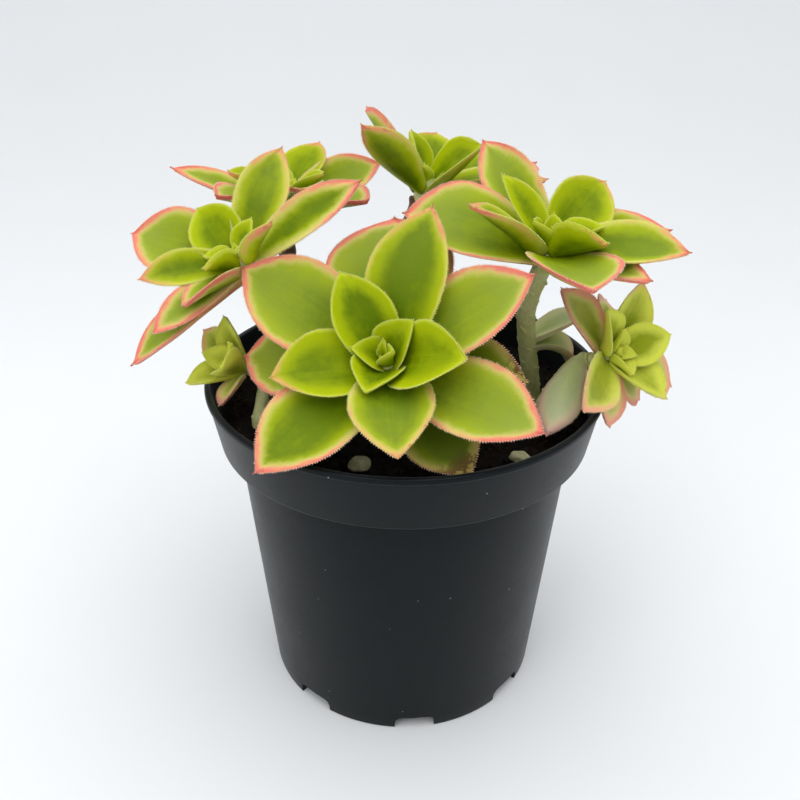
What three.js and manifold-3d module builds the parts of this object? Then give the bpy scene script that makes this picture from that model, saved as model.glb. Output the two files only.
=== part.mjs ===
// A potted aeonium: leafy heads on woody stems, standing in the soil of a plastic nursery pot.
// Millimetres, +Z up. The origin is the centre of the pot's underside, and -Y is the front.
import * as THREE from 'three';
import { mergeVertices } from 'three/addons/utils/BufferGeometryUtils.js';
import Module from 'manifold-3d';

const wasm = await Module();
wasm.setup();

const DEGREE = Math.PI / 180;
const UP = new THREE.Vector3( 0, 0, 1 );
const SMALL_GAP = 0.3;
const MERGE_DISTANCE = 1e-4;

// Pot
const RIM_RADIUS = 52.5;
const POT_HEIGHT = 91.7;
const COLLAR_HEIGHT = 15.5;
const COLLAR_FOOT_RADIUS = 49.5;
const BODY_TOP_RADIUS = 45.1;
const BASE_RADIUS = 38.8;
const WALL = 1.2;
const FLOOR = 2.0;
const LIP_DEPTH = 1.6;
const LIP_REACH = 0.5;
const POT_SIDES = 36;
const LEDGE_DROP = 1;
const FOOT_BEVEL = [ 0.6, 0.8 ];
const LIP_BEVEL = [ 0.3, 0.4 ];
const NOTCH_COUNT = 8;
const NOTCH_FIRST_ANGLE = - 84.6;
const NOTCH_WIDTH = 11;
const NOTCH_HEIGHT = 4.0;
const NOTCH_INNER_RADIUS = 33;
const NOTCH_REACH = 12;

// Soil
const SOIL_TOP = 82.0;
const SOIL_SETTLED = 0.9;
const SOIL_SWELL = 0.7;
const SOIL_LEVEL_RADIUS = 8;
const SOIL_RINGS = 4;
const SOIL_SIDES = 18;
const SOIL_CLEARANCE = 0.7;
const HOLE_DEPTH = 12;
const HOLE_SIDES = 12;
const HOLE_PLAY = 0.6;
const STEP_INSIDE = 3;

// Leaves. Shares are of a leaf's length or width; young leaves are the low numbers of a head.
const GOLDEN_ANGLE = 137.5;
const OLD_WIDEST = 0.58;
const YOUNG_WIDEST_SHIFT = 0.18;
const SHOULDER_POWER = 0.95;
const OLD_TIP_POWER = 2.2;
const YOUNG_TIP_POWER_LOSS = 0.7;
const OLD_WIDTH_SHARE = 0.64;
const YOUNG_EXTRA_WIDTH = 0.3;
const OLD_BASE_SHARE = 0.34;
const YOUNG_EXTRA_BASE = 0.3;
const HANGING_BASE_SHARE = 0.3;
const OLD_CUP = 0.25;
const YOUNG_EXTRA_CUP = 0.35;
const CUP_POWER = 1.6;
const CUP_NARROWS = 0.25;
const YOUNG_UNTIL = 8;
const BROAD_UNTIL = 6.5;
const GROWTH_SPREAD = 2;
const MOST_RECURVED = 3;
const LEAF_START = 1.5;
const LEAF_START_FROM = 6;
const LEAF_EDGE = 0.7;
const LEAF_CORE = 2.1;
const FULL_CORE_LENGTH = 24;
const LEAF_TIP_WIDTH = 0.5;
const LONG_LEAF = 24;
const SHORT_LEAF = 10;
const LONG_LEAF_ROWS = [ 0, 0.2, 0.42, 0.62, 0.8, 0.93, 1 ];
const SHORT_LEAF_ROWS = [ 0, 0.3, 0.58, 0.82, 1 ];
const BUD_LEAF_ROWS = [ 0, 0.4, 0.75, 1 ];
const LONG_LEAF_COLUMNS = [ - 1, - 0.6, 0, 0.6, 1 ];
const SHORT_LEAF_COLUMNS = [ - 1, 0, 1 ];
const LIFT_STEP = 4;

// The core of a head, which its leaves grow from
const LEAF_DROP = 0.3;
const CORE_SIDES = 8;
const CORE_BELOW_LEAVES = 3.2;
const CORE_FOOT_RADIUS = 3.4;
const CORE_NECK = [ 3.0, - 1 ];
const CORE_SHOULDER = [ 1.2, 0.6 ];
const CORE_TOP = 1;
const FULL_CORE_HEAD = 30;

// Stems
const STEM_SIDES = 8;
const STEM_STEPS = 6;
const STEM_RISE = 1;

// Colours and roughness
const LEAF_GREEN = 0x8fa321;
const OFFSET_GREEN = 0x93a33a;
const STEM_BROWN = 0x7a5440;
const STEM_GREEN = 0x7c8a35;
const SOIL_BLACK = 0x15110f;
const POT_BLACK = 0x24292b;
const GRIT_PALE = 0xb9b48c;
const LEAF_ROUGHNESS = 0.42;
const STEM_ROUGHNESS = 0.85;
const POT_ROUGHNESS = 0.5;
const SOIL_ROUGHNESS = 1;
const GRIT_ROUGHNESS = 0.9;

// Heads, from the front. toward: the way the head leans, in degrees from +X; first: where leaf 0
// points; hand: the way the spiral turns; lifts: how high leaves 0, 4, 8, 12 and 16 point above
// the head's own plane; curl: how much a leaf's tip is raised over its base; recurve: the same, for
// the most recurved leaf; nudges: a leaf's turn, lift and length beside the rule's; reshaped: a
// leaf's width beside the rule's, and how far it is twisted about its own length.
const HEADS = [
	{
		name: 'head_front', centre: [ - 4.6, - 25.9, 107.2 ], lean: 38, toward: - 117, first: 214,
		hand: - 1, leaves: 17, length: 41, halfway: 5.2, lifts: [ 90, 62, 42, 30, 12 ], curl: - 13.5,
		recurve: - 26, color: LEAF_GREEN, lost: [], extra: [ 18, 20, 21 ],
		nudges: { 1: [ - 17, 0, 1.5 ], 2: [ 25, 6, 1.6 ], 3: [ 6, 6, 0.94 ], 4: [ 1, 1, 0.9 ],
			5: [ 6, 0, 0.68 ], 6: [ - 1, 1, 0.95 ], 7: [ 4, - 4, 0.83 ], 8: [ - 5, - 1, 0.81 ],
			9: [ 4, - 3, 1.05 ], 10: [ - 3, - 5, 0.76 ], 11: [ - 3, - 3, 1.1 ], 12: [ 11, - 6, 0.97 ],
			13: [ - 5, 1, 0.98 ], 14: [ - 5, - 11, 1.03 ], 15: [ 12, - 5, 0.98 ],
			16: [ - 12, - 3, 0.93 ], 18: [ 40, - 15, 0.74 ], 20: [ 0, - 7, 0.75 ],
			21: [ 0, - 5, 0.7 ] },
		reshaped: { 1: [ 0.6, 0 ], 2: [ 0.55, 0 ], 3: [ 1.14, 0 ], 4: [ 1.14, 9 ],
			5: [ 1.32, - 11 ], 6: [ 0.92, 9 ], 7: [ 1.03, 8 ], 8: [ 1.02, - 6 ], 9: [ 0.82, 8 ],
			10: [ 1.09, - 15 ], 11: [ 0.85, - 5 ], 12: [ 0.83, 6 ], 13: [ 0.88, - 4 ],
			14: [ 1.26, 8 ], 15: [ 0.8, - 2 ] },
	},
	{
		name: 'head_left', centre: [ - 41.8, - 3, 124.6 ], lean: 31.5, toward: - 151, first: - 9,
		hand: - 1, leaves: 18, length: 36, halfway: 6.9, lifts: [ 88, 64, 39, 31, - 3 ], curl: - 15,
		recurve: - 20, color: LEAF_GREEN, lost: [ 15, 16 ], extra: [],
		nudges: { 3: [ 0, 0, 1.09 ], 4: [ 21, - 10, 1.14 ], 5: [ 15, - 4, 0.95 ],
			6: [ - 13, 2, 0.74 ], 7: [ 8, 8, 0.96 ], 8: [ 0, 6, 0.9 ], 9: [ - 8, - 3, 0.92 ],
			10: [ 2, - 5, 1.07 ], 11: [ - 50, - 7, 0.58 ], 12: [ 8, 2, 0.99 ], 13: [ 12, - 10, 0.99 ],
			14: [ - 11, 2, 0.76 ], 17: [ 30, 8, 1 ] },
		reshaped: { 5: [ 1, 19 ], 6: [ 1.15, 30 ], 7: [ 1.15, - 6 ], 8: [ 0.45, - 25 ],
			9: [ 0.6, - 40 ], 10: [ 0.66, 45 ], 11: [ 1, 10 ], 12: [ 0.92, - 17 ], 13: [ 0.52, 38 ],
			14: [ 0.6, - 30 ], 17: [ 0.55, - 10 ] },
	},
	{
		name: 'head_right', centre: [ 35.5, - 2, 128.6 ], lean: 15, toward: - 36, first: 44.5,
		hand: 1, leaves: 16, length: 35.5, halfway: 5.8, lifts: [ 88, 62, 36, 20, 23 ], curl: - 9.5,
		recurve: - 20, color: LEAF_GREEN, lost: [], extra: [],
		nudges: { 3: [ - 2, 0, 1.02 ], 4: [ - 29, 0, 0.92 ], 5: [ - 6, - 6, 0.91 ],
			6: [ - 7, - 4, 1.09 ], 7: [ 25, 4, 0.72 ], 8: [ - 9, 3, 0.95 ], 9: [ 0, 3, 0.9 ],
			10: [ 4, 1, 1.01 ], 11: [ 5, 4, 1.09 ], 12: [ 27, 2, 0.82 ], 13: [ - 9, - 3, 1 ],
			14: [ 6, - 13, 1 ], 15: [ 13, 1, 0.76 ] },
		reshaped: { 6: [ 0.55, - 29 ], 7: [ 1.25, - 32 ], 8: [ 0.97, 21 ], 9: [ 0.62, 10 ],
			10: [ 0.82, 16 ], 11: [ 0.62, - 40 ], 12: [ 1.3, 6 ], 13: [ 0.85, 8 ], 14: [ 1.35, - 12 ],
			15: [ 0.66, 11 ] },
	},
	{
		name: 'head_back', centre: [ 5.7, 34, 134.2 ], lean: 15, toward: 12, first: 52, hand: 1,
		leaves: 16, length: 41.2, halfway: 7.5, lifts: [ 86, 62, 40, 15, 21 ], curl: 0,
		recurve: - 12, color: LEAF_GREEN, lost: [ 12, 14, 15 ], extra: [],
		nudges: { 3: [ - 1, 0, 1.01 ], 4: [ 1, 0, 1.03 ], 5: [ 5, 0, 1.01 ], 6: [ - 1, 15, 1.06 ],
			7: [ 30, 10, 1.08 ], 8: [ 16, - 7, 0.98 ], 9: [ 9, - 2, 1.04 ], 10: [ 9, - 5, 1 ],
			11: [ 3, 2, 0.99 ], 13: [ - 1, 0, 1.07 ] },
		reshaped: { 6: [ 1.2, 0 ], 7: [ 1.28, 40 ], 9: [ 0.59, 53 ], 11: [ 0.68, 42 ] },
	},
	{
		name: 'head_back_left', centre: [ - 33.9, 36, 129.6 ], lean: 5, toward: - 65, first: 86,
		hand: - 1, leaves: 16, length: 31.3, halfway: 6.6, lifts: [ 84, 60, 36, 24, 18.5 ],
		curl: - 4, recurve: - 12, color: LEAF_GREEN, lost: [ 10, 13 ], extra: [],
		nudges: { 7: [ 0, - 4, 1 ], 11: [ 10, - 6, 1 ], 12: [ 0, 0, 0.93 ], 15: [ 1, 2, 1.01 ] },
		reshaped: { 11: [ 0.75, 40 ], 15: [ 0.5, - 13 ] },
	},
	{
		name: 'offset_right', centre: [ 52.4, - 12, 103.2 ], lean: 58, toward: - 43, first: 84,
		hand: 1, leaves: 16, length: 20.3, halfway: 4.1, lifts: [ 86, 62, 38, 0, 0 ], curl: - 18,
		recurve: - 14, color: OFFSET_GREEN, lost: [ 14 ], extra: [],
		nudges: { 3: [ - 8, 0, 0.95 ], 4: [ 17, 0, 0.82 ], 5: [ - 10, 0, 1.21 ],
			6: [ - 28, 0, 0.94 ], 7: [ 4, 0, 1 ], 8: [ - 7, 5, 1.05 ], 9: [ 9, - 10, 1.06 ],
			10: [ - 13, - 2, 1.15 ], 11: [ - 2, 0, 0.99 ], 12: [ - 5, 10, 0.84 ],
			13: [ 7, - 9, 1.09 ], 15: [ 8, 0, 0.93 ] },
		reshaped: {},
	},
	{
		name: 'offset_left', centre: [ - 43.6, - 8, 97.4 ], lean: 48.6, toward: - 150, first: 318,
		hand: 1, leaves: 11, length: 15.3, halfway: 3.3, lifts: [ 86, 64, 44, 20, 0 ], curl: - 6,
		recurve: - 16, color: OFFSET_GREEN, lost: [ 8 ], extra: [],
		nudges: { 3: [ - 17, 0, 1.19 ], 4: [ - 1, 0, 1.01 ], 5: [ 5, 0, 1.19 ], 6: [ 4, 0, 1 ],
			7: [ - 4, 0, 1 ], 9: [ 0, 0, 1.02 ], 10: [ - 13, - 10, 0.75 ] },
		reshaped: {},
	},
];

// Old leaves that still hang on the stems. along: how far up its stem the leaf grows; turn: where
// it points; lift and curl as in a head; roll: how far it is twisted about its own length.
const OLD_LEAVES = [
	{ stem: 'offset_right', along: 0.9, turn: - 116, lift: - 8, curl: - 22, roll: 172,
		length: 27, width: 11, cup: 0.25 },
	{ stem: 'head_right', along: 0.52, turn: 6, lift: 38, curl: - 130, roll: 10,
		length: 17, width: 9.5, cup: 0.5 },
	{ stem: 'head_right', along: 0.58, turn: 22, lift: 22, curl: - 10, roll: 0,
		length: 19, width: 10, cup: 0.3 },
];

// Stems: the head that each one carries, where it stands in the soil, and its radius.
const STEMS = [
	{ head: 'head_front', foot: [ 1, - 14 ], radius: 3.2, color: STEM_BROWN },
	{ head: 'head_left', foot: [ - 36, 0 ], radius: 2.6, color: STEM_BROWN },
	{ head: 'head_right', foot: [ 35, 6 ], radius: 2.4, color: STEM_GREEN },
	{ head: 'head_back', foot: [ 4, 30 ], radius: 3.0, color: STEM_BROWN },
	{ head: 'head_back_left', foot: [ - 25, 30 ], radius: 2.6, color: STEM_BROWN },
	{ head: 'offset_right', foot: [ 34, - 10 ], radius: 1.9, color: STEM_GREEN },
	{ head: 'offset_left', foot: [ - 38, - 12 ], radius: 1.6, color: STEM_GREEN },
];

// Grit stones on the soil: place, length, width, height and turn.
const GRIT_LIFT = 0.6;
const GRIT = [
	{ at: [ - 10.5, - 34 ], size: [ 6.4, 5.0, 4.2 ], turn: 20 },
	{ at: [ 28, - 29 ], size: [ 5.6, 4.2, 3.4 ], turn: - 15 },
	{ at: [ 14, - 36 ], size: [ 3.4, 3.0, 2.6 ], turn: 50 },
];

// Solids

function indexedGeometry( values, index ) {

	const geometry = new THREE.BufferGeometry();
	geometry.setAttribute( 'position', new THREE.Float32BufferAttribute( values, 3 ) );
	geometry.setIndex( index );
	return geometry;

}

// A profile of [ radius, height ] points, turned about the vertical axis.
function turnedGeometry( profile, sides ) {

	const points = profile.map( ( [ radius, height ] ) => new THREE.Vector2( radius, height ) );
	return new THREE.LatheGeometry( points, sides ).rotateX( 90 * DEGREE );

}

function solidFrom( geometry ) {

	const bare = geometry.clone();
	const others = Object.keys( bare.attributes ).filter( ( name ) => name !== 'position' );
	others.forEach( ( name ) => bare.deleteAttribute( name ) );

	const joined = mergeVertices( bare, MERGE_DISTANCE );
	const mesh = new wasm.Mesh( {
		numProp: 3,
		vertProperties: new Float32Array( joined.attributes.position.array ),
		triVerts: new Uint32Array( joined.index.array ),
	} );
	return new wasm.Manifold( mesh );

}

// The outside of a solid: the pockets that crowded leaves close off between them are filled.
function outerSkin( solid ) {

	const skins = solid.decompose();
	return skins.reduce( ( best, skin ) => ( skin.volume() > best.volume() ? skin : best ) );

}

function geometryFrom( solid ) {

	const mesh = solid.getMesh();
	const geometry = new THREE.BufferGeometry();
	geometry.setAttribute( 'position', new THREE.BufferAttribute( mesh.vertProperties, 3 ) );
	geometry.setIndex( new THREE.BufferAttribute( mesh.triVerts, 1 ) );
	geometry.computeVertexNormals();
	return geometry;

}

function namedMesh( name, geometry, color, roughness ) {

	const material = new THREE.MeshStandardMaterial( { color, roughness, metalness: 0 } );
	const mesh = new THREE.Mesh( geometry, material );
	mesh.name = name;
	return mesh;

}

// Leaves

// Half of a leaf's width at a share t of its length, as a share of the widest half.
function leafOutline( t, leaf ) {

	if ( t < leaf.widest ) {

		const rise = Math.sin( Math.PI / 2 * t / leaf.widest ) ** SHOULDER_POWER;
		return leaf.baseShare + ( 1 - leaf.baseShare ) * rise;

	}

	return 1 - ( ( t - leaf.widest ) / ( 1 - leaf.widest ) ) ** leaf.tipPower;

}

function leafRows( leaf ) {

	const shorterRows = leaf.length > SHORT_LEAF ? SHORT_LEAF_ROWS : BUD_LEAF_ROWS;
	return leaf.length > LONG_LEAF ? LONG_LEAF_ROWS : shorterRows;

}

// The middle line of a leaf in the head's own frame: where each row lies and how steeply it rises.
function leafMidline( leaf, rows ) {

	const points = [];
	let radius = leaf.start;
	let height = - leaf.drop;
	rows.forEach( ( t, i ) => {

		if ( i > 0 ) {

			const step = leaf.length * ( t - rows[ i - 1 ] );
			const slope = ( leaf.lift + leaf.curl * ( t + rows[ i - 1 ] ) / 2 ) * DEGREE;
			radius += step * Math.cos( slope );
			height += step * Math.sin( slope );

		}

		const lift = ( leaf.lift + leaf.curl * t ) * DEGREE;
		points.push( { t, radius, height, lift } );

	} );
	return points;

}

// One closed leaf: an upper and a lower face with the same triangles, cupped along its length.
function leafSolid( leaf ) {

	const rows = leafRows( leaf );
	const columns = leaf.length > LONG_LEAF ? LONG_LEAF_COLUMNS : SHORT_LEAF_COLUMNS;
	const turn = leaf.turn * DEGREE;
	const out = new THREE.Vector3( Math.cos( turn ), Math.sin( turn ), 0 );
	const level = new THREE.Vector3( - Math.sin( turn ), Math.cos( turn ), 0 );
	const fullCore = LEAF_CORE * Math.min( 1, leaf.length / FULL_CORE_LENGTH );
	const upper = [];
	const lower = [];
	for ( const row of leafMidline( leaf, rows ) ) {

		const along = out.clone().multiplyScalar( Math.cos( row.lift ) );
		along.addScaledVector( UP, Math.sin( row.lift ) );
		const side = level.clone().applyAxisAngle( along, leaf.roll * DEGREE );
		const normal = along.clone().cross( side );
		const half = Math.max( LEAF_TIP_WIDTH, leaf.width / 2 * leafOutline( row.t, leaf ) );
		const core = fullCore * ( 1 - row.t ** 2 );
		for ( const u of columns ) {

			const point = out.clone().multiplyScalar( row.radius ).addScaledVector( UP, row.height );
			point.addScaledVector( side, half * u * ( 1 - CUP_NARROWS * leaf.cup * u * u ) );
			point.addScaledVector( normal, half * leaf.cup * Math.abs( u ) ** CUP_POWER );
			upper.push( point );
			lower.push( point.clone().addScaledVector( normal, - LEAF_EDGE - core * ( 1 - u * u ) ) );

		}

	}

	return closedBlade( upper, lower, rows.length, columns.length );

}

// Joins an upper and a lower grid of points, of the same rows and columns, into one closed solid.
function closedBlade( upper, lower, rowCount, columnCount ) {

	const points = [ ...upper, ...lower ];
	const under = upper.length;
	const index = [];
	const quad = ( a, b, c, d ) => index.push( a, b, c, a, c, d );
	for ( let row = 0; row < rowCount - 1; row ++ ) {

		for ( let column = 0; column < columnCount - 1; column ++ ) {

			const a = row * columnCount + column;
			const b = a + columnCount;
			quad( a, b, b + 1, a + 1 );
			quad( under + a, under + a + 1, under + b + 1, under + b );

		}

		const left = row * columnCount;
		const right = left + columnCount - 1;
		quad( left, under + left, under + left + columnCount, left + columnCount );
		quad( right, right + columnCount, under + right + columnCount, under + right );

	}

	const last = ( rowCount - 1 ) * columnCount;
	for ( let column = 0; column < columnCount - 1; column ++ ) {

		quad( column, column + 1, under + column + 1, under + column );
		quad( last + column, under + last + column, under + last + column + 1, last + column + 1 );

	}

	return solidFrom( indexedGeometry( points.flatMap( ( point ) => point.toArray() ), index ) );

}

// A value for one leaf, from a list that holds every fourth leaf's; later leaves keep the last one.
function between( values, number ) {

	const place = Math.min( number / LIFT_STEP, values.length - 1 );
	const low = Math.min( Math.floor( place ), values.length - 2 );
	return THREE.MathUtils.lerp( values[ low ], values[ low + 1 ], place - low );

}

function leafByRule( head, number ) {

	const [ turn, lift, stretch ] = head.nudges[ number ] ?? [ 0, 0, 1 ];
	const [ widen, roll ] = head.reshaped[ number ] ?? [ 1, 0 ];
	const young = Math.exp( - ( ( number / YOUNG_UNTIL ) ** 2 ) );
	const broad = Math.exp( - ( ( number / BROAD_UNTIL ) ** 2 ) );
	const recurved = number / MOST_RECURVED * Math.exp( 1 - number / MOST_RECURVED );
	const grown = 1 / ( 1 + Math.exp( ( head.halfway - number ) / GROWTH_SPREAD ) );
	const length = stretch * head.length * grown;
	return {
		turn: head.first + head.hand * GOLDEN_ANGLE * number + turn,
		lift: between( head.lifts, number ) + lift,
		curl: head.curl + head.recurve * recurved,
		length,
		width: widen * length * ( OLD_WIDTH_SHARE + YOUNG_EXTRA_WIDTH * broad ),
		baseShare: OLD_BASE_SHARE + YOUNG_EXTRA_BASE * young,
		widest: OLD_WIDEST - YOUNG_WIDEST_SHIFT * young,
		tipPower: OLD_TIP_POWER - YOUNG_TIP_POWER_LOSS * young,
		cup: OLD_CUP + YOUNG_EXTRA_CUP * young,
		drop: LEAF_DROP * number,
		start: LEAF_START * Math.min( 1, number / LEAF_START_FROM ),
		roll,
	};

}

function leafNumbers( head ) {

	const numbers = [ ...Array( head.leaves ).keys(), ...head.extra ];
	return numbers.filter( ( number ) => ! head.lost.includes( number ) );

}

// Heads

function headCore( head ) {

	const bottom = - coreDepth( head );
	const share = Math.min( 1, head.length / FULL_CORE_HEAD );
	const profile = [
		[ 0, bottom ],
		[ CORE_FOOT_RADIUS * share, bottom ],
		[ CORE_NECK[ 0 ] * share, CORE_NECK[ 1 ] ],
		[ CORE_SHOULDER[ 0 ] * share, CORE_SHOULDER[ 1 ] ],
		[ 0, CORE_TOP ],
	];
	return solidFrom( turnedGeometry( profile, CORE_SIDES ) );

}

function coreDepth( head ) {

	return LEAF_DROP * Math.max( ...leafNumbers( head ) ) + CORE_BELOW_LEAVES;

}

function headAxis( head ) {

	const lean = head.lean * DEGREE;
	const toward = head.toward * DEGREE;
	const flat = Math.sin( lean );
	return new THREE.Vector3( flat * Math.cos( toward ), flat * Math.sin( toward ), Math.cos( lean ) );

}

function headMesh( head ) {

	let solid = headCore( head );
	for ( const number of leafNumbers( head ) ) {

		solid = solid.add( leafSolid( leafByRule( head, number ) ) );

	}

	const geometry = geometryFrom( outerSkin( solid ) );
	const mesh = namedMesh( head.name, geometry, head.color, LEAF_ROUGHNESS );
	mesh.position.fromArray( head.centre );
	mesh.quaternion.setFromUnitVectors( UP, headAxis( head ) );
	return mesh;

}

// Stems: straight in their hole, then bending to meet the underside of their head.

function stemLine( stem ) {

	const head = HEADS.find( ( one ) => one.name === stem.head );
	const axis = headAxis( head );
	const top = new THREE.Vector3( ...head.centre );
	top.addScaledVector( axis, - coreDepth( head ) - SMALL_GAP );
	const [ x, y ] = stem.foot;
	const reach = ( top.z - SOIL_TOP ) / 3;
	return new THREE.CatmullRomCurve3( [
		new THREE.Vector3( x, y, SOIL_TOP - HOLE_DEPTH + SMALL_GAP ),
		new THREE.Vector3( x, y, SOIL_TOP - HOLE_DEPTH / 2 ),
		new THREE.Vector3( x, y, SOIL_TOP + STEM_RISE ),
		top.clone().addScaledVector( axis, - reach ),
		top,
	] );

}

function stemMesh( stem ) {

	const corners = [];
	for ( let i = 0; i < STEM_SIDES; i ++ ) {

		const turn = 2 * Math.PI * i / STEM_SIDES;
		const corner = new THREE.Vector2( Math.cos( turn ), Math.sin( turn ) );
		corners.push( corner.multiplyScalar( stem.radius ) );

	}

	const geometry = new THREE.ExtrudeGeometry( new THREE.Shape( corners ), {
		extrudePath: stemLine( stem ),
		steps: STEM_STEPS,
		bevelEnabled: false,
	} );
	let solid = solidFrom( geometry );
	for ( const leaf of OLD_LEAVES.filter( ( one ) => one.stem === stem.head ) ) {

		const shape = { baseShare: HANGING_BASE_SHARE, widest: OLD_WIDEST, tipPower: OLD_TIP_POWER };
		const blade = leafSolid( { ...leaf, ...shape, start: 0, drop: 0 } );
		solid = solid.add( blade.translate( stemLine( stem ).getPointAt( leaf.along ).toArray() ) );

	}

	const skin = geometryFrom( outerSkin( solid ) );
	return namedMesh( `stem_${ stem.head }`, skin, stem.color, STEM_ROUGHNESS );

}

// Pot

function potInnerRadius( height ) {

	const collarFoot = POT_HEIGHT - COLLAR_HEIGHT;
	if ( height > collarFoot ) {

		const share = ( height - collarFoot ) / COLLAR_HEIGHT;
		return THREE.MathUtils.lerp( COLLAR_FOOT_RADIUS, RIM_RADIUS - LIP_REACH, share ) - WALL;

	}

	return THREE.MathUtils.lerp( BASE_RADIUS, BODY_TOP_RADIUS, height / collarFoot ) - WALL;

}

function potMesh() {

	const collarFoot = POT_HEIGHT - COLLAR_HEIGHT;
	const ledge = collarFoot + WALL;
	const wallTop = RIM_RADIUS - LIP_REACH;
	const shelf = collarFoot - LEDGE_DROP;
	const [ footIn, footUp ] = FOOT_BEVEL;
	const [ lipUnder, lipOver ] = LIP_BEVEL;
	const profile = [
		[ 0, 0 ],
		[ BASE_RADIUS - footIn, 0 ],
		[ BASE_RADIUS, footUp ],
		[ BODY_TOP_RADIUS, collarFoot ],
		[ COLLAR_FOOT_RADIUS, collarFoot ],
		[ wallTop, POT_HEIGHT - LIP_DEPTH ],
		[ RIM_RADIUS, POT_HEIGHT - LIP_DEPTH + lipUnder ],
		[ RIM_RADIUS, POT_HEIGHT - lipOver ],
		[ RIM_RADIUS - lipOver, POT_HEIGHT ],
		[ wallTop - WALL, POT_HEIGHT ],
		[ potInnerRadius( ledge ), ledge ],
		[ potInnerRadius( shelf ), shelf ],
		[ potInnerRadius( FLOOR ), FLOOR ],
		[ 0, FLOOR ],
	];
	let solid = solidFrom( turnedGeometry( profile, POT_SIDES ) );
	for ( let i = 0; i < NOTCH_COUNT; i ++ ) {

		const turn = ( NOTCH_FIRST_ANGLE + 360 * i / NOTCH_COUNT ) * DEGREE;
		const box = new THREE.BoxGeometry( NOTCH_REACH, NOTCH_WIDTH, 2 * NOTCH_HEIGHT );
		box.translate( NOTCH_INNER_RADIUS + NOTCH_REACH / 2, 0, 0 ).rotateZ( turn );
		solid = solid.subtract( solidFrom( box ) );

	}

	return namedMesh( 'pot', geometryFrom( solid ), POT_BLACK, POT_ROUGHNESS );

}

// Soil

function soilHeight( radius, turn ) {

	const waves = Math.sin( 5 * turn + 0.16 * radius ) * Math.cos( 0.21 * radius - 2 * turn );
	const swell = SOIL_SWELL * waves * Math.min( 1, radius / SOIL_LEVEL_RADIUS );
	return SOIL_TOP - SOIL_SETTLED + swell;

}

function soilSolid() {

	const points = [];
	const index = [];
	const outline = [];
	const wallRadius = potInnerRadius( SOIL_TOP - 2 ) - SOIL_CLEARANCE;
	const ledge = POT_HEIGHT - COLLAR_HEIGHT + WALL + SMALL_GAP;
	for ( let i = 1; i <= SOIL_RINGS; i ++ ) {

		outline.push( { radius: wallRadius * i / SOIL_RINGS, top: true } );

	}

	outline.push( { radius: potInnerRadius( ledge ) - SOIL_CLEARANCE, height: ledge } );
	outline.push( { radius: potInnerRadius( ledge - STEP_INSIDE ) - SOIL_CLEARANCE, height: ledge } );
	outline.push( { radius: potInnerRadius( FLOOR ) - SOIL_CLEARANCE, height: FLOOR + SMALL_GAP } );
	points.push( 0, 0, soilHeight( 0, 0 ) );
	for ( const ring of outline ) {

		for ( let i = 0; i < SOIL_SIDES; i ++ ) {

			const turn = 2 * Math.PI * i / SOIL_SIDES;
			const height = ring.top ? soilHeight( ring.radius, turn ) : ring.height;
			points.push( ring.radius * Math.cos( turn ), ring.radius * Math.sin( turn ), height );

		}

	}

	points.push( 0, 0, FLOOR + SMALL_GAP );
	const bottom = points.length / 3 - 1;
	for ( let i = 0; i < SOIL_SIDES; i ++ ) {

		const next = ( i + 1 ) % SOIL_SIDES;
		index.push( 0, 1 + i, 1 + next );
		for ( let ring = 0; ring < outline.length - 1; ring ++ ) {

			const a = 1 + ring * SOIL_SIDES + i;
			const b = 1 + ring * SOIL_SIDES + next;
			index.push( a, a + SOIL_SIDES, b + SOIL_SIDES, a, b + SOIL_SIDES, b );

		}

		const last = 1 + ( outline.length - 1 ) * SOIL_SIDES;
		index.push( last + i, bottom, last + next );

	}

	return solidFrom( indexedGeometry( points, index ) );

}

function soilMesh() {

	let solid = soilSolid();
	for ( const stem of STEMS ) {

		const radius = stem.radius + HOLE_PLAY;
		const hole = new THREE.CylinderGeometry( radius, radius, 2 * HOLE_DEPTH, HOLE_SIDES );
		hole.rotateX( 90 * DEGREE ).translate( ...stem.foot, SOIL_TOP );
		solid = solid.subtract( solidFrom( hole ) );

	}

	return namedMesh( 'soil', geometryFrom( solid ), SOIL_BLACK, SOIL_ROUGHNESS );

}

// Grit

function gritMesh( stone, number ) {

	const [ x, y ] = stone.at;
	const [ length, width, height ] = stone.size;
	const geometry = new THREE.IcosahedronGeometry( 0.5, 1 );
	geometry.scale( length, width, height ).rotateZ( stone.turn * DEGREE );
	const skin = geometryFrom( solidFrom( geometry ) );
	const mesh = namedMesh( `grit_${ number }`, skin, GRIT_PALE, GRIT_ROUGHNESS );
	const ground = soilHeight( Math.hypot( x, y ), Math.atan2( y, x ) );
	mesh.position.set( x, y, ground + height / 2 + GRIT_LIFT );
	return mesh;

}

const group = new THREE.Group();
group.add( potMesh() );
group.add( soilMesh() );
HEADS.forEach( ( head ) => group.add( headMesh( head ) ) );
STEMS.forEach( ( stem ) => group.add( stemMesh( stem ) ) );
GRIT.forEach( ( stone, i ) => group.add( gritMesh( stone, i + 1 ) ) );

export default group;
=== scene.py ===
"""A potted aeonium: toothed, variegated leaf heads on short stems, in a black plastic pot."""
import math

import bmesh
import bpy
from mathutils import Matrix, Vector, noise


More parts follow.
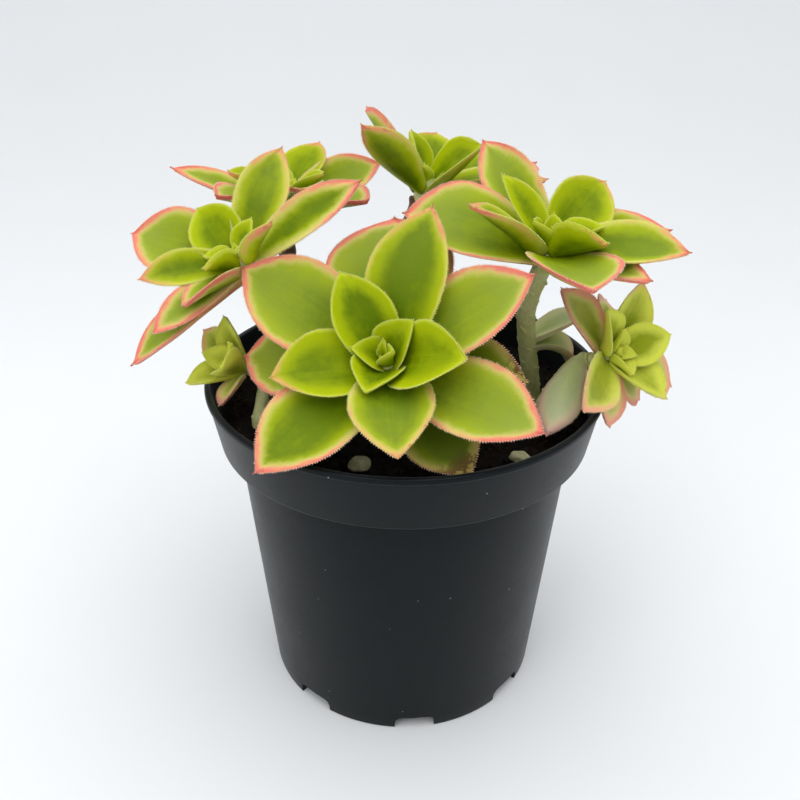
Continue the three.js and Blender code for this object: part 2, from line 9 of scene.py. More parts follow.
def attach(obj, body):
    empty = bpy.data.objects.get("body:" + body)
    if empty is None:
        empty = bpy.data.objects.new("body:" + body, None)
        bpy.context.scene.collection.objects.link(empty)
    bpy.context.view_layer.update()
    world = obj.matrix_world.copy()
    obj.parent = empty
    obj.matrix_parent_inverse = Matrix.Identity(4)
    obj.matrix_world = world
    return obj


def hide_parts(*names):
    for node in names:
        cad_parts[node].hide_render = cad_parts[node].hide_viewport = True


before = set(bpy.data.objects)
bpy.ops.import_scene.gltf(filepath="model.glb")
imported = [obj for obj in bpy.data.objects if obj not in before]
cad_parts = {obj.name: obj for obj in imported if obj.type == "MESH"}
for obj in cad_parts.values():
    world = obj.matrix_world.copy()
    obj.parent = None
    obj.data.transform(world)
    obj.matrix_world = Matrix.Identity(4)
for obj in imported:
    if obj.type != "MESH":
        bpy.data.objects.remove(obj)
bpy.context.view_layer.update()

# Sizes below are millimetres, apart from those of the paper and the lights, and angles are degrees.
# MM turns a size into Blender's metres.
MM = 0.001
DEGREE = math.pi / 180
UP = Vector((0, 0, 1))

# Pot
RIM_RADIUS = 52.5
POT_HEIGHT = 91.7
COLLAR_HEIGHT = 15.5
COLLAR_FOOT = POT_HEIGHT - COLLAR_HEIGHT
COLLAR_FOOT_RADIUS = 49.5
BODY_TOP_RADIUS = 45.1
BASE_RADIUS = 38.8
WALL = 1.2
FLOOR_THICKNESS = 2.0
LIP_DEPTH = 1.6
LIP_REACH = 0.5
LIP_SLOPE = 0.2
WALL_TOP_RADIUS = RIM_RADIUS - LIP_REACH
EDGE_ROUNDING = 0.6
POT_SEGMENTS = 192
SHARP_ANGLE = 40
NOTCH_COUNT = 8
NOTCH_FIRST_ANGLE = -84.6
NOTCH_WIDTH = 11
NOTCH_HEIGHT = 4.0
NOTCH_CORNER = 2.2
NOTCH_INNER_RADIUS = 33
NOTCH_REACH = 12
# Specks of dust lie one to a cell at most.
DUST_CELL = 4.2

# Soil
SOIL_TOP = 82.0
SOIL_SETTLED = 0.9
SOIL_SWELL = 0.7
SOIL_LEVEL_RADIUS = 8
SOIL_CLEARANCE = 0.21
SOIL_RINGS = 40
SOIL_SEGMENTS = 120
HOLE_DEPTH = 12
# Lumps in the soil's surface: how high, how close together, and a seed
SOIL_LUMPS = ((0.9, 0.35, 4), (0.5, 1.1, 9))
# Crumbs: shares of a crumb's width, and a power that makes most of them small
CRUMB_LENGTHS = (1.0, 2.0)
CRUMB_HEIGHT = 0.7
MOSTLY_SMALL = 2.2

# Leaves. Shares are of a leaf's length or width. Young leaves are the low numbers of a head, and
# what is YOUNG wears off with the number.
GOLDEN_ANGLE = 137.5
OLD_WIDEST = 0.58
YOUNG_WIDEST_SHIFT = 0.18
SHOULDER_POWER = 0.95
OLD_TIP_POWER = 2.2
YOUNG_TIP_POWER_LOSS = 0.7
OLD_WIDTH_SHARE = 0.64
YOUNG_EXTRA_WIDTH = 0.3
OLD_BASE_SHARE = 0.34
YOUNG_EXTRA_BASE = 0.3
HANGING_BASE_SHARE = 0.3
OLD_CUP = 0.25
YOUNG_EXTRA_CUP = 0.35
CUP_POWER = 1.6
CUP_NARROWS = 0.25
YOUNG_UNTIL = 8
MOST_RECURVED = 3
BROAD_UNTIL = 6.5
GROWTH_SPREAD = 2
LEAF_START = 1.5
LEAF_START_FROM = 6
LEAF_DROP = 0.3
LIFT_STEP = 4
LEAST_CURL = 0.05
LEAF_EDGE = 0.9
LEAF_CORE = 2.1
FULL_CORE_LENGTH = 24
BLADE_RING = 36
BLADE_ROWS = 34
ROWS_TIPWARD = 1.4
RIM_ROUNDING = 0.6
FULL_EDGE_HALF = 0.7
LEAST_KEEL = 0.03
WAVE_DEPTH = 0.05
WAVES_ALONG = 2.2
WAVES_ACROSS = 1.3
POINT_LENGTH = 0.02
POINT_FROM = 0.95
POINT_HALF_WIDTH = 0.3
LEAST_POINT = 0.02
# A leaf's age is 0 in the middle of its head, 1 from the ripe number on, and more if it withers.
RIPE_FROM = 12
LAST_FRESH_LEAF = 17
WITHERING = 0.2

# Teeth. They start at a share of the leaf's length. Their lean and stray are shares of how far
# they point outwards, and their sizes are shares of the length and radius. A young leaf's teeth
# are about half as large as an old one's.
TOOTH_SPACING = 0.6
TOOTH_LENGTH = 0.42
TOOTH_RADIUS = 0.19
TEETH_FROM = 0.16
TOOTH_LEAN = 0.35
TOOTH_STRAY = 0.25
TOOTH_SIZES = (0.65, 1.2)
YOUNG_TOOTH = 0.55
MARGIN_POINTS = 70

# The core of a head, which its leaves grow from, and the stem up to it. Sizes of the leaf scars
# are shares of the stem's radius, and then of a scar's own width.
CORE_BELOW_LEAVES = 3.2
CORE_RADIUS = 2.4
FULL_CORE_HEAD = 30
SMALL_GAP = 0.3
STEM_RISE = 1
STEM_STEPS = 24
CORE_SWELLING = 0.25
WOODY_SWELLING = 0.4
SCAR_WIDTHS = (0.4, 0.62)
SCAR_HEIGHT = 0.42
SCAR_BULGE = 0.55

# Heads. Each has its centre, how far and which way (from +X) it leans, where leaf 0 points, which
# way its spiral turns, how many leaves it has, its longest leaf, and the number of the leaf that is
# half as long. lifts: how high leaves 0, 4, 8, 12 and 16 point above the head's own plane; curl and
# recurve: how far all leaves, and most of all the young ones, bend on their way; lost and extra:
# leaves that are gone, and leaves below the last; nudges: a leaf's turn, lift and length beside the
# rule's; reshaped: its width beside the rule's, and its roll about its own length. Most of these
# numbers were worked out by a scratch program, as a least-squares fit to leaf tips and edges that
# were read off the photograph by eye. They were then rounded, and some were changed one by one.
HEADS = {
    "head_front": dict(
        centre=(-4.6, -25.9, 107.2), lean=38, toward=-117, first=214, hand=-1, leaves=17,
        length=41, halfway=5.2, lifts=(90, 62, 42, 30, 12), curl=-13.5, recurve=-26,
        extra=(18, 20, 21), slot="leaf",
        nudges={1: (-17, 0, 1.5), 2: (25, 6, 1.6), 3: (6, 6, 0.94), 4: (1, 1, 0.9),
                5: (6, 0, 0.68), 6: (-1, 1, 0.95), 7: (4, -4, 0.83), 8: (-5, -1, 0.81),
                9: (4, -3, 1.05), 10: (-3, -5, 0.76), 11: (-3, -3, 1.1), 12: (11, -6, 0.97),
                13: (-5, 1, 0.98), 14: (-5, -11, 1.03), 15: (12, -5, 0.98), 16: (-12, -3, 0.93),
                18: (40, -15, 0.74), 20: (0, -7, 0.75), 21: (0, -5, 0.7)},
        reshaped={1: (0.6, 0), 2: (0.55, 0), 3: (1.14, 0), 4: (1.14, 9), 5: (1.32, -11),
                  6: (0.92, 9), 7: (1.03, 8), 8: (1.02, -6), 9: (0.82, 8), 10: (1.09, -15),
                  11: (0.85, -5), 12: (0.83, 6), 13: (0.88, -4), 14: (1.26, 8), 15: (0.8, -2)}),
    "head_left": dict(
        centre=(-41.8, -3, 124.6), lean=31.5, toward=-151, first=-9, hand=-1, leaves=18,
        length=36, halfway=6.9, lifts=(88, 64, 39, 31, -3), curl=-15, recurve=-20, lost=(15, 16),
        slot="leaf",
        nudges={3: (0, 0, 1.09), 4: (21, -10, 1.14), 5: (15, -4, 0.95), 6: (-13, 2, 0.74),
                7: (8, 8, 0.96), 8: (0, 6, 0.9), 9: (-8, -3, 0.92), 10: (2, -5, 1.07),
                11: (-50, -7, 0.58), 12: (8, 2, 0.99), 13: (12, -10, 0.99), 14: (-11, 2, 0.76),
                17: (30, 8, 1)},
        reshaped={5: (1, 19), 6: (1.15, 30), 7: (1.15, -6), 8: (0.45, -25), 9: (0.6, -40),
                  10: (0.66, 45), 11: (1, 10), 12: (0.92, -17), 13: (0.52, 38), 14: (0.6, -30),
                  17: (0.55, -10)}),
    "head_right": dict(
        centre=(35.5, -2, 128.6), lean=15, toward=-36, first=44.5, hand=1, leaves=16, length=35.5,
        halfway=5.8, lifts=(88, 62, 36, 20, 23), curl=-9.5, recurve=-20,
        slot="leaf",
        nudges={3: (-2, 0, 1.02), 4: (-29, 0, 0.92), 5: (-6, -6, 0.91), 6: (-7, -4, 1.09),
                7: (25, 4, 0.72), 8: (-9, 3, 0.95), 9: (0, 3, 0.9), 10: (4, 1, 1.01),
                11: (5, 4, 1.09), 12: (27, 2, 0.82), 13: (-9, -3, 1), 14: (6, -13, 1),
                15: (13, 1, 0.76)},
        reshaped={6: (0.55, -29), 7: (1.25, -32), 8: (0.97, 21), 9: (0.62, 10), 10: (0.82, 16),
                  11: (0.62, -40), 12: (1.3, 6), 13: (0.85, 8), 14: (1.35, -12), 15: (0.66, 11)}),
    "head_back": dict(
        centre=(5.7, 34, 134.2), lean=15, toward=12, first=52, hand=1, leaves=16, length=41.2,
        halfway=7.5, lifts=(86, 62, 40, 15, 21), curl=0, recurve=-12, lost=(12, 14, 15),
        slot="leaf",
        nudges={3: (-1, 0, 1.01), 4: (1, 0, 1.03), 5: (5, 0, 1.01), 6: (-1, 15, 1.06),
                7: (30, 10, 1.08), 8: (16, -7, 0.98), 9: (9, -2, 1.04), 10: (9, -5, 1),
                11: (3, 2, 0.99), 13: (-1, 0, 1.07)},
        reshaped={6: (1.2, 0), 7: (1.28, 40), 9: (0.59, 53), 11: (0.68, 42)}),
    "head_back_left": dict(
        centre=(-33.9, 36, 129.6), lean=5, toward=-65, first=86, hand=-1, leaves=16, length=31.3,
        halfway=6.6, lifts=(84, 60, 36, 24, 18.5), curl=-4, recurve=-12, lost=(10, 13),
        slot="leaf",
        nudges={7: (0, -4, 1), 11: (10, -6, 1), 12: (0, 0, 0.93), 15: (1, 2, 1.01)},
        reshaped={11: (0.75, 40), 15: (0.5, -13)}),
    "offset_right": dict(
        centre=(52.4, -12, 103.2), lean=58, toward=-43, first=84, hand=1, leaves=16, length=20.3,
        halfway=4.1, lifts=(86, 62, 38, 0, 0), curl=-18, recurve=-14, lost=(14,),
        slot="young_leaf",
        nudges={3: (-8, 0, 0.95), 4: (17, 0, 0.82), 5: (-10, 0, 1.21), 6: (-28, 0, 0.94),
                7: (4, 0, 1), 8: (-7, 5, 1.05), 9: (9, -10, 1.06), 10: (-13, -2, 1.15),
                11: (-2, 0, 0.99), 12: (-5, 10, 0.84), 13: (7, -9, 1.09), 15: (8, 0, 0.93)}),
    "offset_left": dict(
        centre=(-43.6, -8, 97.4), lean=48.6, toward=-150, first=318, hand=1, leaves=11,
        length=15.3, halfway=3.3, lifts=(86, 64, 44, 20, 0), curl=-6, recurve=-16, lost=(8,),
        slot="young_leaf",
        nudges={3: (-17, 0, 1.19), 4: (-1, 0, 1.01), 5: (5, 0, 1.19), 6: (4, 0, 1), 7: (-4, 0, 1),
                9: (0, 0, 1.02), 10: (-13, -10, 0.75)}),
}

# Old leaves that still hang on the stems. along: how far up its stem the leaf grows; roll: how far
# it is twisted about its own length.
OLD_LEAVES = (
    dict(name="hanging_leaf", stem="offset_right", along=0.9, leaf=dict(
        turn=-116, lift=-8, curl=-22, roll=172, length=27, width=11, cup=0.25)),
    dict(name="curled_leaf", stem="head_right", along=0.52, leaf=dict(
        turn=6, lift=38, curl=-130, roll=10, length=17, width=9.5, cup=0.5)),
    dict(name="upright_leaf", stem="head_right", along=0.58, leaf=dict(
        turn=22, lift=22, curl=-10, roll=0, length=19, width=10, cup=0.3)),
)

# Stems: the head that each one carries, where it stands in the soil, and its radius.
STEMS = {
    "head_front": dict(foot=(1, -14), radius=3.2, woody=True),
    "head_left": dict(foot=(-36, 0), radius=2.6, woody=True),
    "head_right": dict(foot=(35, 6), radius=2.4, woody=False),
    "head_back": dict(foot=(4, 30), radius=3.0, woody=True),
    "head_back_left": dict(foot=(-25, 30), radius=2.6, woody=True),
    "offset_right": dict(foot=(34, -10), radius=1.9, woody=False),
    "offset_left": dict(foot=(-38, -12), radius=1.6, woody=False),
}

# Grit stones: where they lie, their length, width and height, and their turn. They lie a little
# above the soil's own waves, on its crumbs.
GRIT_LIFT = 0.6
GRIT = (
    dict(at=(-10.5, -34), size=(6.4, 5.0, 4.2), turn=20),
    dict(at=(28, -29), size=(5.6, 4.2, 3.4), turn=-15),
    dict(at=(14, -36), size=(3.4, 3.0, 2.6), turn=50),
)

# Camera, where the photograph was taken from
CAMERA_PLACE = (0, -213.3, 200.6)
CAMERA_PITCH = 28.98
CAMERA_YAW = -0.34
CAMERA_ROLL = 0.41
CAMERA_LENS = 40.5
CAMERA_SENSOR = 36

# Floor and backdrop, in metres: one sheet of paper, which curves up behind the pot. NEAR_SHADE and
# FAR_SHADE are painted shade, which makes it a little darker close to the camera and far behind the
# pot: from where, to where, and how much.
PAPER_FRONT = -2.2
PAPER_HALF_WIDTH = 3.0
PAPER_TOP = 2.4
CURVE_START = 0.22
CURVE_RADIUS = 0.45
CURVE_STEPS = 16
NEAR_SHADE = (-0.2, -0.36, 0.38)
FAR_SHADE = (0.06, 0.6, 0.9)

# Lights, in metres and watts, and the strength and colour of the even light all round
SOFTBOX = dict(place=(0.01, -0.15, 1.1), target=(0, 0, 0.1), side=1.5, power=10.4)
FILL = dict(place=(-0.7, -0.9, 0.75), target=(0, 0, 0.12), side=0.7, power=2.0)
STUDIO_LIGHT = 0.63
STUDIO_COLOUR = (0.94, 0.97, 1.0, 1)


# Node trees

def open_socket(sockets, name):
    """The socket of that name or number that the node's settings leave open."""
    if isinstance(name, int):
        return sockets[name]
    return next(one for one in sockets if one.name == name and one.enabled)


def plug(tree, socket, value):
    """Links a value that other nodes work out, or sets a plain one."""
    if isinstance(value, Field):
        tree.links.new(value.socket, socket)
    else:
        socket.default_value = value


class Field:
    """A value that nodes work out. Arithmetic on it adds the math nodes that it needs."""

    def __init__(self, tree, socket):
        self.tree = tree
        self.socket = socket

    def math(self, operation, *others, kind="ShaderNodeMath"):
        """What a math node makes of this value and the others."""
        node = self.tree.nodes.new(kind)
        node.operation = operation
        for socket, value in zip(node.inputs, (self, *others)):
            plug(self.tree, socket, value)
        return Field(self.tree, node.outputs[0])

    def vector(self, operation, *others):
        """What a vector math node makes of this vector and the others."""
        return self.math(operation, *others, kind="ShaderNodeVectorMath")

    def scaled(self, factor):
        """This vector, made longer or shorter by a factor."""
        return Tree(self.tree).field(
            "ShaderNodeVectorMath", {"Vector": self, "Scale": factor}, operation="SCALE")

    def __add__(self, other):
        return self.math("ADD", other)

    def __sub__(self, other):
        return self.math("SUBTRACT", other)

    def __rsub__(self, other):
        return (self * -1) + other

    def __mul__(self, other):
        return self.math("MULTIPLY", other)

    def __truediv__(self, other):
        return self.math("DIVIDE", other)

    def __rtruediv__(self, other):
        return (self ** -1) * other

    def __pow__(self, other):
        return self.math("POWER", other)

    def __abs__(self):
        return self.math("ABSOLUTE")

    __radd__ = __add__
    __rmul__ = __mul__

    def sine(self):
        return self.math("SINE")

    def cosine(self):
        return self.math("COSINE")

    def at_most(self, other):
        return self.math("MINIMUM", other)

    def at_least(self, other):
        return self.math("MAXIMUM", other)

    def clamped(self):
        """The value, kept between 0 and 1."""
        return self.at_least(0).at_most(1)

    def above(self, limit):
        """1 where the value is above the limit, and 0 elsewhere."""
        return self.math("GREATER_THAN", limit)

    def smooth(self, low, high):
        """0 below low, 1 above high, and a smooth step between."""
        return Tree(self.tree).field(
            "ShaderNodeMapRange", {"Value": self, "From Min": low, "From Max": high},
            output="Result", interpolation_type="SMOOTHSTEP")


class Tree:
    """A node tree and short ways to add nodes to it."""

    def __init__(self, tree):
        self.tree = tree

    def add(self, kind, inputs=None, **settings):
        """A new node, with its settings and then its inputs."""
        node = self.tree.nodes.new(kind)
        for key, value in settings.items():
            setattr(node, key, value)
        for name, value in (inputs or {}).items():
            plug(self.tree, open_socket(node.inputs, name), value)
        return node

    def field(self, kind, inputs=None, output=0, **settings):
        """The output of a new node."""
        node = self.add(kind, inputs, **settings)
        return Field(self.tree, open_socket(node.outputs, output))

    def xyz(self, x, y, z):
        """A vector of three values."""
        return self.field("ShaderNodeCombineXYZ", {"X": x, "Y": y, "Z": z})

    def split(self, vector):
        """The three values of a vector."""
        node = self.add("ShaderNodeSeparateXYZ", {"Vector": vector})
        return [Field(self.tree, socket) for socket in node.outputs]

    def noise(self, place, scale, detail, seed=None, roughness=0.5, output=0):
        """Soft noise at a place, which a seed moves to another part of it."""
        inputs = {"Vector": place, "Scale": scale, "Detail": detail, "Roughness": roughness}
        if seed is None:
            return self.field("ShaderNodeTexNoise", inputs, output=output)
        return self.field(
            "ShaderNodeTexNoise", {**inputs, "W": seed}, output=output, noise_dimensions="4D")

    def turned(self, vector, axis, angle):
        """A vector turned about an axis."""
        return self.field(
            "ShaderNodeVectorRotate", {"Vector": vector, "Axis": axis, "Angle": angle},
            rotation_type="AXIS_ANGLE")

    def random(self, low, high, seed):
        """A number or a vector for each element, the same in every run."""
        kind = "FLOAT_VECTOR" if isinstance(low, tuple) else "FLOAT"
        return self.field(
            "FunctionNodeRandomValue", {"Min": low, "Max": high, "Seed": seed}, output="Value",
            data_type=kind)

    def named(self, name, data_type="FLOAT"):
        """The values that the geometry holds under a name."""
        return self.field(
            "GeometryNodeInputNamedAttribute", {"Name": name}, output="Attribute",
            data_type=data_type)

    def stored(self, geometry, name, value, data_type="FLOAT"):
        """The geometry, with values kept under a name."""
        return self.field(
            "GeometryNodeStoreNamedAttribute",
            {"Geometry": geometry, "Name": name, "Value": value}, data_type=data_type)

    def moved(self, geometry, **where):
        """The geometry with its points at a Position or moved by an Offset."""
        return self.field("GeometryNodeSetPosition", {"Geometry": geometry, **where})

    def resampled(self, curve, spacing):
        """The curve with evenly spaced points, the spacing in millimetres."""
        return self.field(
            "GeometryNodeResampleCurve", {"Curve": curve, "Length": spacing * MM}, mode="LENGTH")

    def copies(self, points, shape, **placing):
        """A real copy of the shape on each point."""
        placed = self.field(
            "GeometryNodeInstanceOnPoints", {"Points": points, "Instance": shape, **placing})
        return self.field("GeometryNodeRealizeInstances", {"Geometry": placed})

    def coated(self, geometry, material):
        """The geometry in a material."""
        return self.field(
            "GeometryNodeSetMaterial", {"Geometry": geometry, "Material": material})

    def joined(self, *parts):
        """The parts as one geometry."""
        node = self.add("GeometryNodeJoinGeometry")
        for part in parts:
            self.tree.links.new(part.socket, node.inputs[0])
        return Field(self.tree, node.outputs[0])


SOCKETS = {float: "NodeSocketFloat", int: "NodeSocketInt"}


def group_tree(kind, name, inputs, output, output_kind):
    """A new node group's Tree, and a field for each input. inputs: values, or kinds of socket."""
    group = bpy.data.node_groups.new(name, kind)
    for key, value in inputs.items():
        has_value = type(value) in SOCKETS
        socket_kind = SOCKETS[type(value)] if has_value else value
        socket = group.interface.new_socket(key, in_out="INPUT", socket_type=socket_kind)
        if has_value:
            socket.default_value = value
    group.interface.new_socket(output, in_out="OUTPUT", socket_type=output_kind)
    tree = Tree(group)
    entry = tree.add("NodeGroupInput")
    return tree, {socket.name: Field(group, socket) for socket in entry.outputs if socket.name}


def geometry_tree(name, inputs):
    """A Geometry Nodes tree that takes a geometry and the named inputs."""
    inputs = {"Geometry": "NodeSocketGeometry", **inputs}
    return group_tree("GeometryNodeTree", name, inputs, "Geometry", "NodeSocketGeometry")


def finish_tree(tree, geometry):
    """Realizes what the tree made and hands it out."""
    realized = tree.field("GeometryNodeRealizeInstances", {"Geometry": geometry})
    tree.add("NodeGroupOutput", {"Geometry": realized})
    return tree.tree


def grown(name, start, group, values):
    """The plain mesh that a Geometry Nodes tree makes of a starting object."""
    modifier = start.modifiers.new(group.name, "NODES")
    modifier.node_group = group
    for item in group.interface.items_tree:
        if item.in_out == "INPUT" and item.name in values:
            modifier[item.identifier] = values[item.name]
    graph = bpy.context.evaluated_depsgraph_get()
    evaluated = start.evaluated_get(graph)
    mesh = bpy.data.meshes.new_from_object(
        evaluated, preserve_all_data_layers=True, depsgraph=graph)
    bpy.data.objects.remove(start)
    return linked(name, mesh)


def new_object(name, data):
    """A new object in the scene."""
    thing = bpy.data.objects.new(name, data)
    bpy.context.collection.objects.link(thing)
    return thing


def linked(name, mesh):
    """A new object for the mesh, in the scene, with smooth faces."""
    mesh.name = name
    mesh.polygons.foreach_set("use_smooth", [True] * len(mesh.polygons))
    return new_object(name, mesh)


def drafted(name, draft):
    """The mesh that a bmesh draft holds."""
    mesh = bpy.data.meshes.new(name)
    draft.to_mesh(mesh)
    draft.free()
    return mesh


def belongs(thing, slot, *nodes):
    """Puts a finished piece on the pot's body and lets it stand for its nodes."""
    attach(thing, "root")
    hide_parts(*nodes)


# Shader groups

def pattern_tree(name, size_name, output):
    """A shader group with a size in millimetres and a seed: its Tree, place, scale and seed."""
    inputs = {size_name: 1.0, "Seed": 0.0}
    tree, fields = group_tree("ShaderNodeTree", name, inputs, output, "NodeSocketFloat")
    place = tree.field("ShaderNodeTexCoord", output="Object")
    return tree, place, 1 / (fields[size_name] * MM), fields["Seed"]


def mottling_group():
    """Soft patches in two sizes, as a mask from 0 to 1."""
    tree, place, scale, seed = pattern_tree("mottling", "Patch size", "Mask")
    coarse = tree.noise(place, scale, 3.0, seed)
    fine = tree.noise(place, scale * 6, 4.0, seed)
    tree.add("NodeGroupOutput", {"Mask": (coarse * 0.75 + fine * 0.25).smooth(0.3, 0.7)})
    return tree.tree


def relief_group():
    """A fine grain as a height, for a Bump node."""
    tree, place, scale, seed = pattern_tree("grain", "Grain size", "Height")
    tree.add("NodeGroupOutput", {"Height": tree.noise(place, scale, 5.0, seed, roughness=0.6)})
    return tree.tree


MOTTLING = mottling_group()
GRAIN = relief_group()


class Finish(Tree):
    """A material with one Principled BSDF, and short ways to colour it."""

    def __init__(self, name, **shader_values):
        self.material = bpy.data.materials.new(name)
        self.material.use_nodes = True
        super().__init__(self.material.node_tree)
        self.shader = self.tree.nodes["Principled BSDF"]
        for key, value in shader_values.items():
            self.shader.inputs[key.replace("_", " ")].default_value = value

    def set(self, name, value):
        """Links a value to the shader, or sets a plain one."""
        plug(self.tree, self.shader.inputs[name], value)

    def attribute(self, name):
        """A value that the mesh holds under a name."""
        return self.field("ShaderNodeAttribute", output="Fac", attribute_name=name)

    def blend(self, factor, first, second):
        """The first colour where factor is 0, and the second where it is 1."""
        return self.field(
            "ShaderNodeMix", {"Factor": factor, "A": first, "B": second}, output="Result",
            data_type="RGBA")

    def mottling(self, patch_size, seed=0.0):
        """Soft patches of a size in millimetres."""
        inputs = {"Patch size": patch_size, "Seed": seed}
        return self.field("ShaderNodeGroup", inputs, node_tree=MOTTLING)

    def grain(self, grain_size):
        """A fine relief of a size in millimetres."""
        return self.field("ShaderNodeGroup", {"Grain size": grain_size}, node_tree=GRAIN)

    def bump(self, height, depth, strength=1.0):
        """Bumps of the given depth in millimetres, where the height goes from 0 to 1."""
        normal = self.field(
            "ShaderNodeBump", {"Height": height, "Strength": strength, "Distance": depth * MM},
            output="Normal")
        self.set("Normal", normal)


def ripeness(finish):
    """How red a leaf's margin turns: above 0 on old leaves, most of all at their tips."""
    age, along, seed = (finish.attribute(name) for name in ("age", "along", "seed"))
    return age * 2.4 + along * 1.1 + seed * 0.3 - 2.5


def leaf_finish(name, deep, bright, pale, coral, painted_sheen, redness):
    """A leaf: green in the middle, cream towards its margin, and a coral margin when it is old.

    redness makes the margins of its old leaves redder, or paler where it is below 0.
    """
    skin = Finish(
        name, Specular_IOR_Level=0.05, Subsurface_Weight=0.3, Subsurface_Scale=0.0014)
    skin.shader.inputs["Subsurface Radius"].default_value = (1.0, 0.9, 0.2)
    rim, along, across = skin.attribute("rim"), skin.attribute("along"), skin.attribute("across")
    age, face, seed = skin.attribute("age"), skin.attribute("face"), skin.attribute("seed")
    patches = skin.mottling(9.0, seed)
    clouds = skin.mottling(3.0, seed)
    specks = skin.mottling(0.8, seed)
    streaks = skin.noise(skin.xyz(across * 14, along * 1.6, seed * 10), 1.0, 4.0)

    # The green: deepest in the middle, more so in some leaves, and dull where a leaf withers.
    # Towards an old leaf's tip a greyer green is blended in: a painted sheen of the light from
    # above
    inward = rim + (clouds - 0.5) * rim.smooth(0.0, 1.2)
    middle = (1 - abs(across)).smooth(0.0, 0.75) * inward.smooth(0.4, 4.8)
    deepened = 1 - (seed * 2).math("FRACT").smooth(0.1, 0.7)
    middle = middle * (0.74 + deepened * 0.28 + (patches - 0.5) * 0.5 + (streaks - 0.5) * 0.3)
    withered = age.smooth(1.05, 1.15)
    green = skin.blend(middle, bright, deep)
    green = skin.blend(withered * 0.7, green, (0.11, 0.15, 0.012, 1))
    ripe = age.smooth(0.6, 1.0)
    # Painted sheen: a greyer, rougher green towards the tips of old leaves, where light from above
    # would gleam
    tipward = along.smooth(0.1, 0.9) * (0.05 + ripe * seed.smooth(-0.05, 0.25) * 0.75)
    sheen_share = tipward * (0.6 + patches * 0.4) * inward.smooth(0.6, 2.8) * (1 - withered)
    green = skin.blend(sheen_share, green, painted_sheen)

    # The margin: a pale line on young leaves, which turns yellow and then coral with age
    lime = skin.blend(ripe, (0.58, 0.62, 0.07, 1), pale)
    reach = 1 + max(redness, 0) * 0.7
    paler = (1 - inward.smooth(0.1, (1.1 + ripe * 2.2) * reach)) * (0.62 + clouds * 0.3)
    paler = paler * (1 - withered * 0.6)
    edged = skin.blend(paler, green, lime)
    redder = ripeness(skin) + (patches - 0.5) * 0.7 + ripe * redness
    under = face.smooth(0.0, -0.5)
    red = (redder + under * 0.35).smooth(0.0, 1.0) * (1 - withered * 0.85)
    warm = red * (1 - inward.smooth(0.6, 1.7 + age * 1.2))
    warmed = skin.blend(warm * 0.4, edged, (0.86, 0.47, 0.27, 1))
    flush = red * (1 - inward.smooth(0.35, (0.9 + age * 0.95) * reach))
    flushed = skin.blend(flush * 0.88, warmed, coral)

    # Scorched specks on old margins, and the dry tip of a withered leaf
    scorch = (specks * 0.55 + clouds * 0.45).smooth(0.6, 0.85) * (1 - inward.smooth(0.3, 1.1))
    scorch = scorch * along.smooth(0.5, 0.8) * age.smooth(0.3, 0.6)
    coloured = skin.blend(scorch * 0.5, flushed, (0.42, 0.12, 0.04, 1))
    dry = withered * along.smooth(0.76, 0.94) * clouds.smooth(0.4, 0.62)
    coloured = skin.blend(dry * 0.9, coloured, (0.13, 0.06, 0.022, 1))
    skin.set("Base Color", coloured)
    skin.set("Roughness", 0.4 + specks * 0.1 + sheen_share * 0.15)
    skin.bump(streaks * 0.3 + skin.grain(0.35) * 0.3 + clouds * 0.4, 0.14)
    return skin.material


def tooth_finish():
    """Teeth: cream on young leaves, and pink on old ones."""
    tooth = Finish(
        "leaf teeth", Roughness=0.5, Subsurface_Weight=0.5, Subsurface_Scale=0.0008,
        Specular_IOR_Level=0.15)
    red = ripeness(tooth).smooth(0.0, 0.9)
    light = tooth.mottling(0.8)
    colour = tooth.blend(red, (0.76, 0.79, 0.28, 1), (0.94, 0.44, 0.36, 1))
    tooth.set("Base Color", tooth.blend(light * 0.5, colour, (0.88, 0.72, 0.48, 1)))
    return tooth.material


def bark_finish(name, dark, light, scar, roughness):
    """Skin of a stem, in patches, with a fine cracked relief."""
    bark = Finish(name, Roughness=roughness, Specular_IOR_Level=0.25)
    patches = bark.mottling(3.0)
    specks = bark.mottling(0.7, 3.0)
    colour = bark.blend(patches, dark, light)
    bark.set("Base Color", bark.blend(specks * 0.5, colour, scar))
    bark.bump(bark.grain(0.8) * 0.7 + bark.grain(0.25) * 0.3, 0.5)
    return bark.material


def pot_finish():
    """Black moulded plastic, with a satin grain and specks of dust."""
    plastic = Finish(
        "black plastic", Specular_IOR_Level=0.13, Sheen_Weight=0.078, Sheen_Roughness=0.45)
    patches = plastic.mottling(14.0)
    specks = plastic.mottling(1.1, 5.0)
    colour = plastic.blend(patches, (0.0012, 0.0034, 0.0048, 1), (0.0022, 0.0048, 0.0062, 1))
    place = plastic.field("ShaderNodeTexCoord", output="Object")
    cells = plastic.add("ShaderNodeTexVoronoi", {"Vector": place, "Scale": 1 / (DUST_CELL * MM)})
    distance, middle = (
        Field(plastic.tree, cells.outputs[name]) for name in ("Distance", "Position"))
    lone = plastic.field("ShaderNodeTexWhiteNoise", {"Vector": middle}, output="Value")
    dust = (1 - distance.smooth(0.02, 0.055)) * lone.above(0.72)
    plastic.set("Base Color", plastic.blend(dust * 0.8, colour, (0.45, 0.47, 0.48, 1)))
    plastic.set("Roughness", 0.36 + patches * 0.06 + specks * 0.05 + dust * 0.3)
    plastic.bump(plastic.grain(0.45), 0.04)
    return plastic.material


def soil_finish(name, dark, brown):
    """Damp peat and bark."""
    peat = Finish(name, Roughness=0.95, Specular_IOR_Level=0.15)
    peat.set("Base Color", peat.blend(peat.mottling(1.2, 2.0), dark, brown))
    peat.bump(peat.grain(0.6), 0.5)
    return peat.material


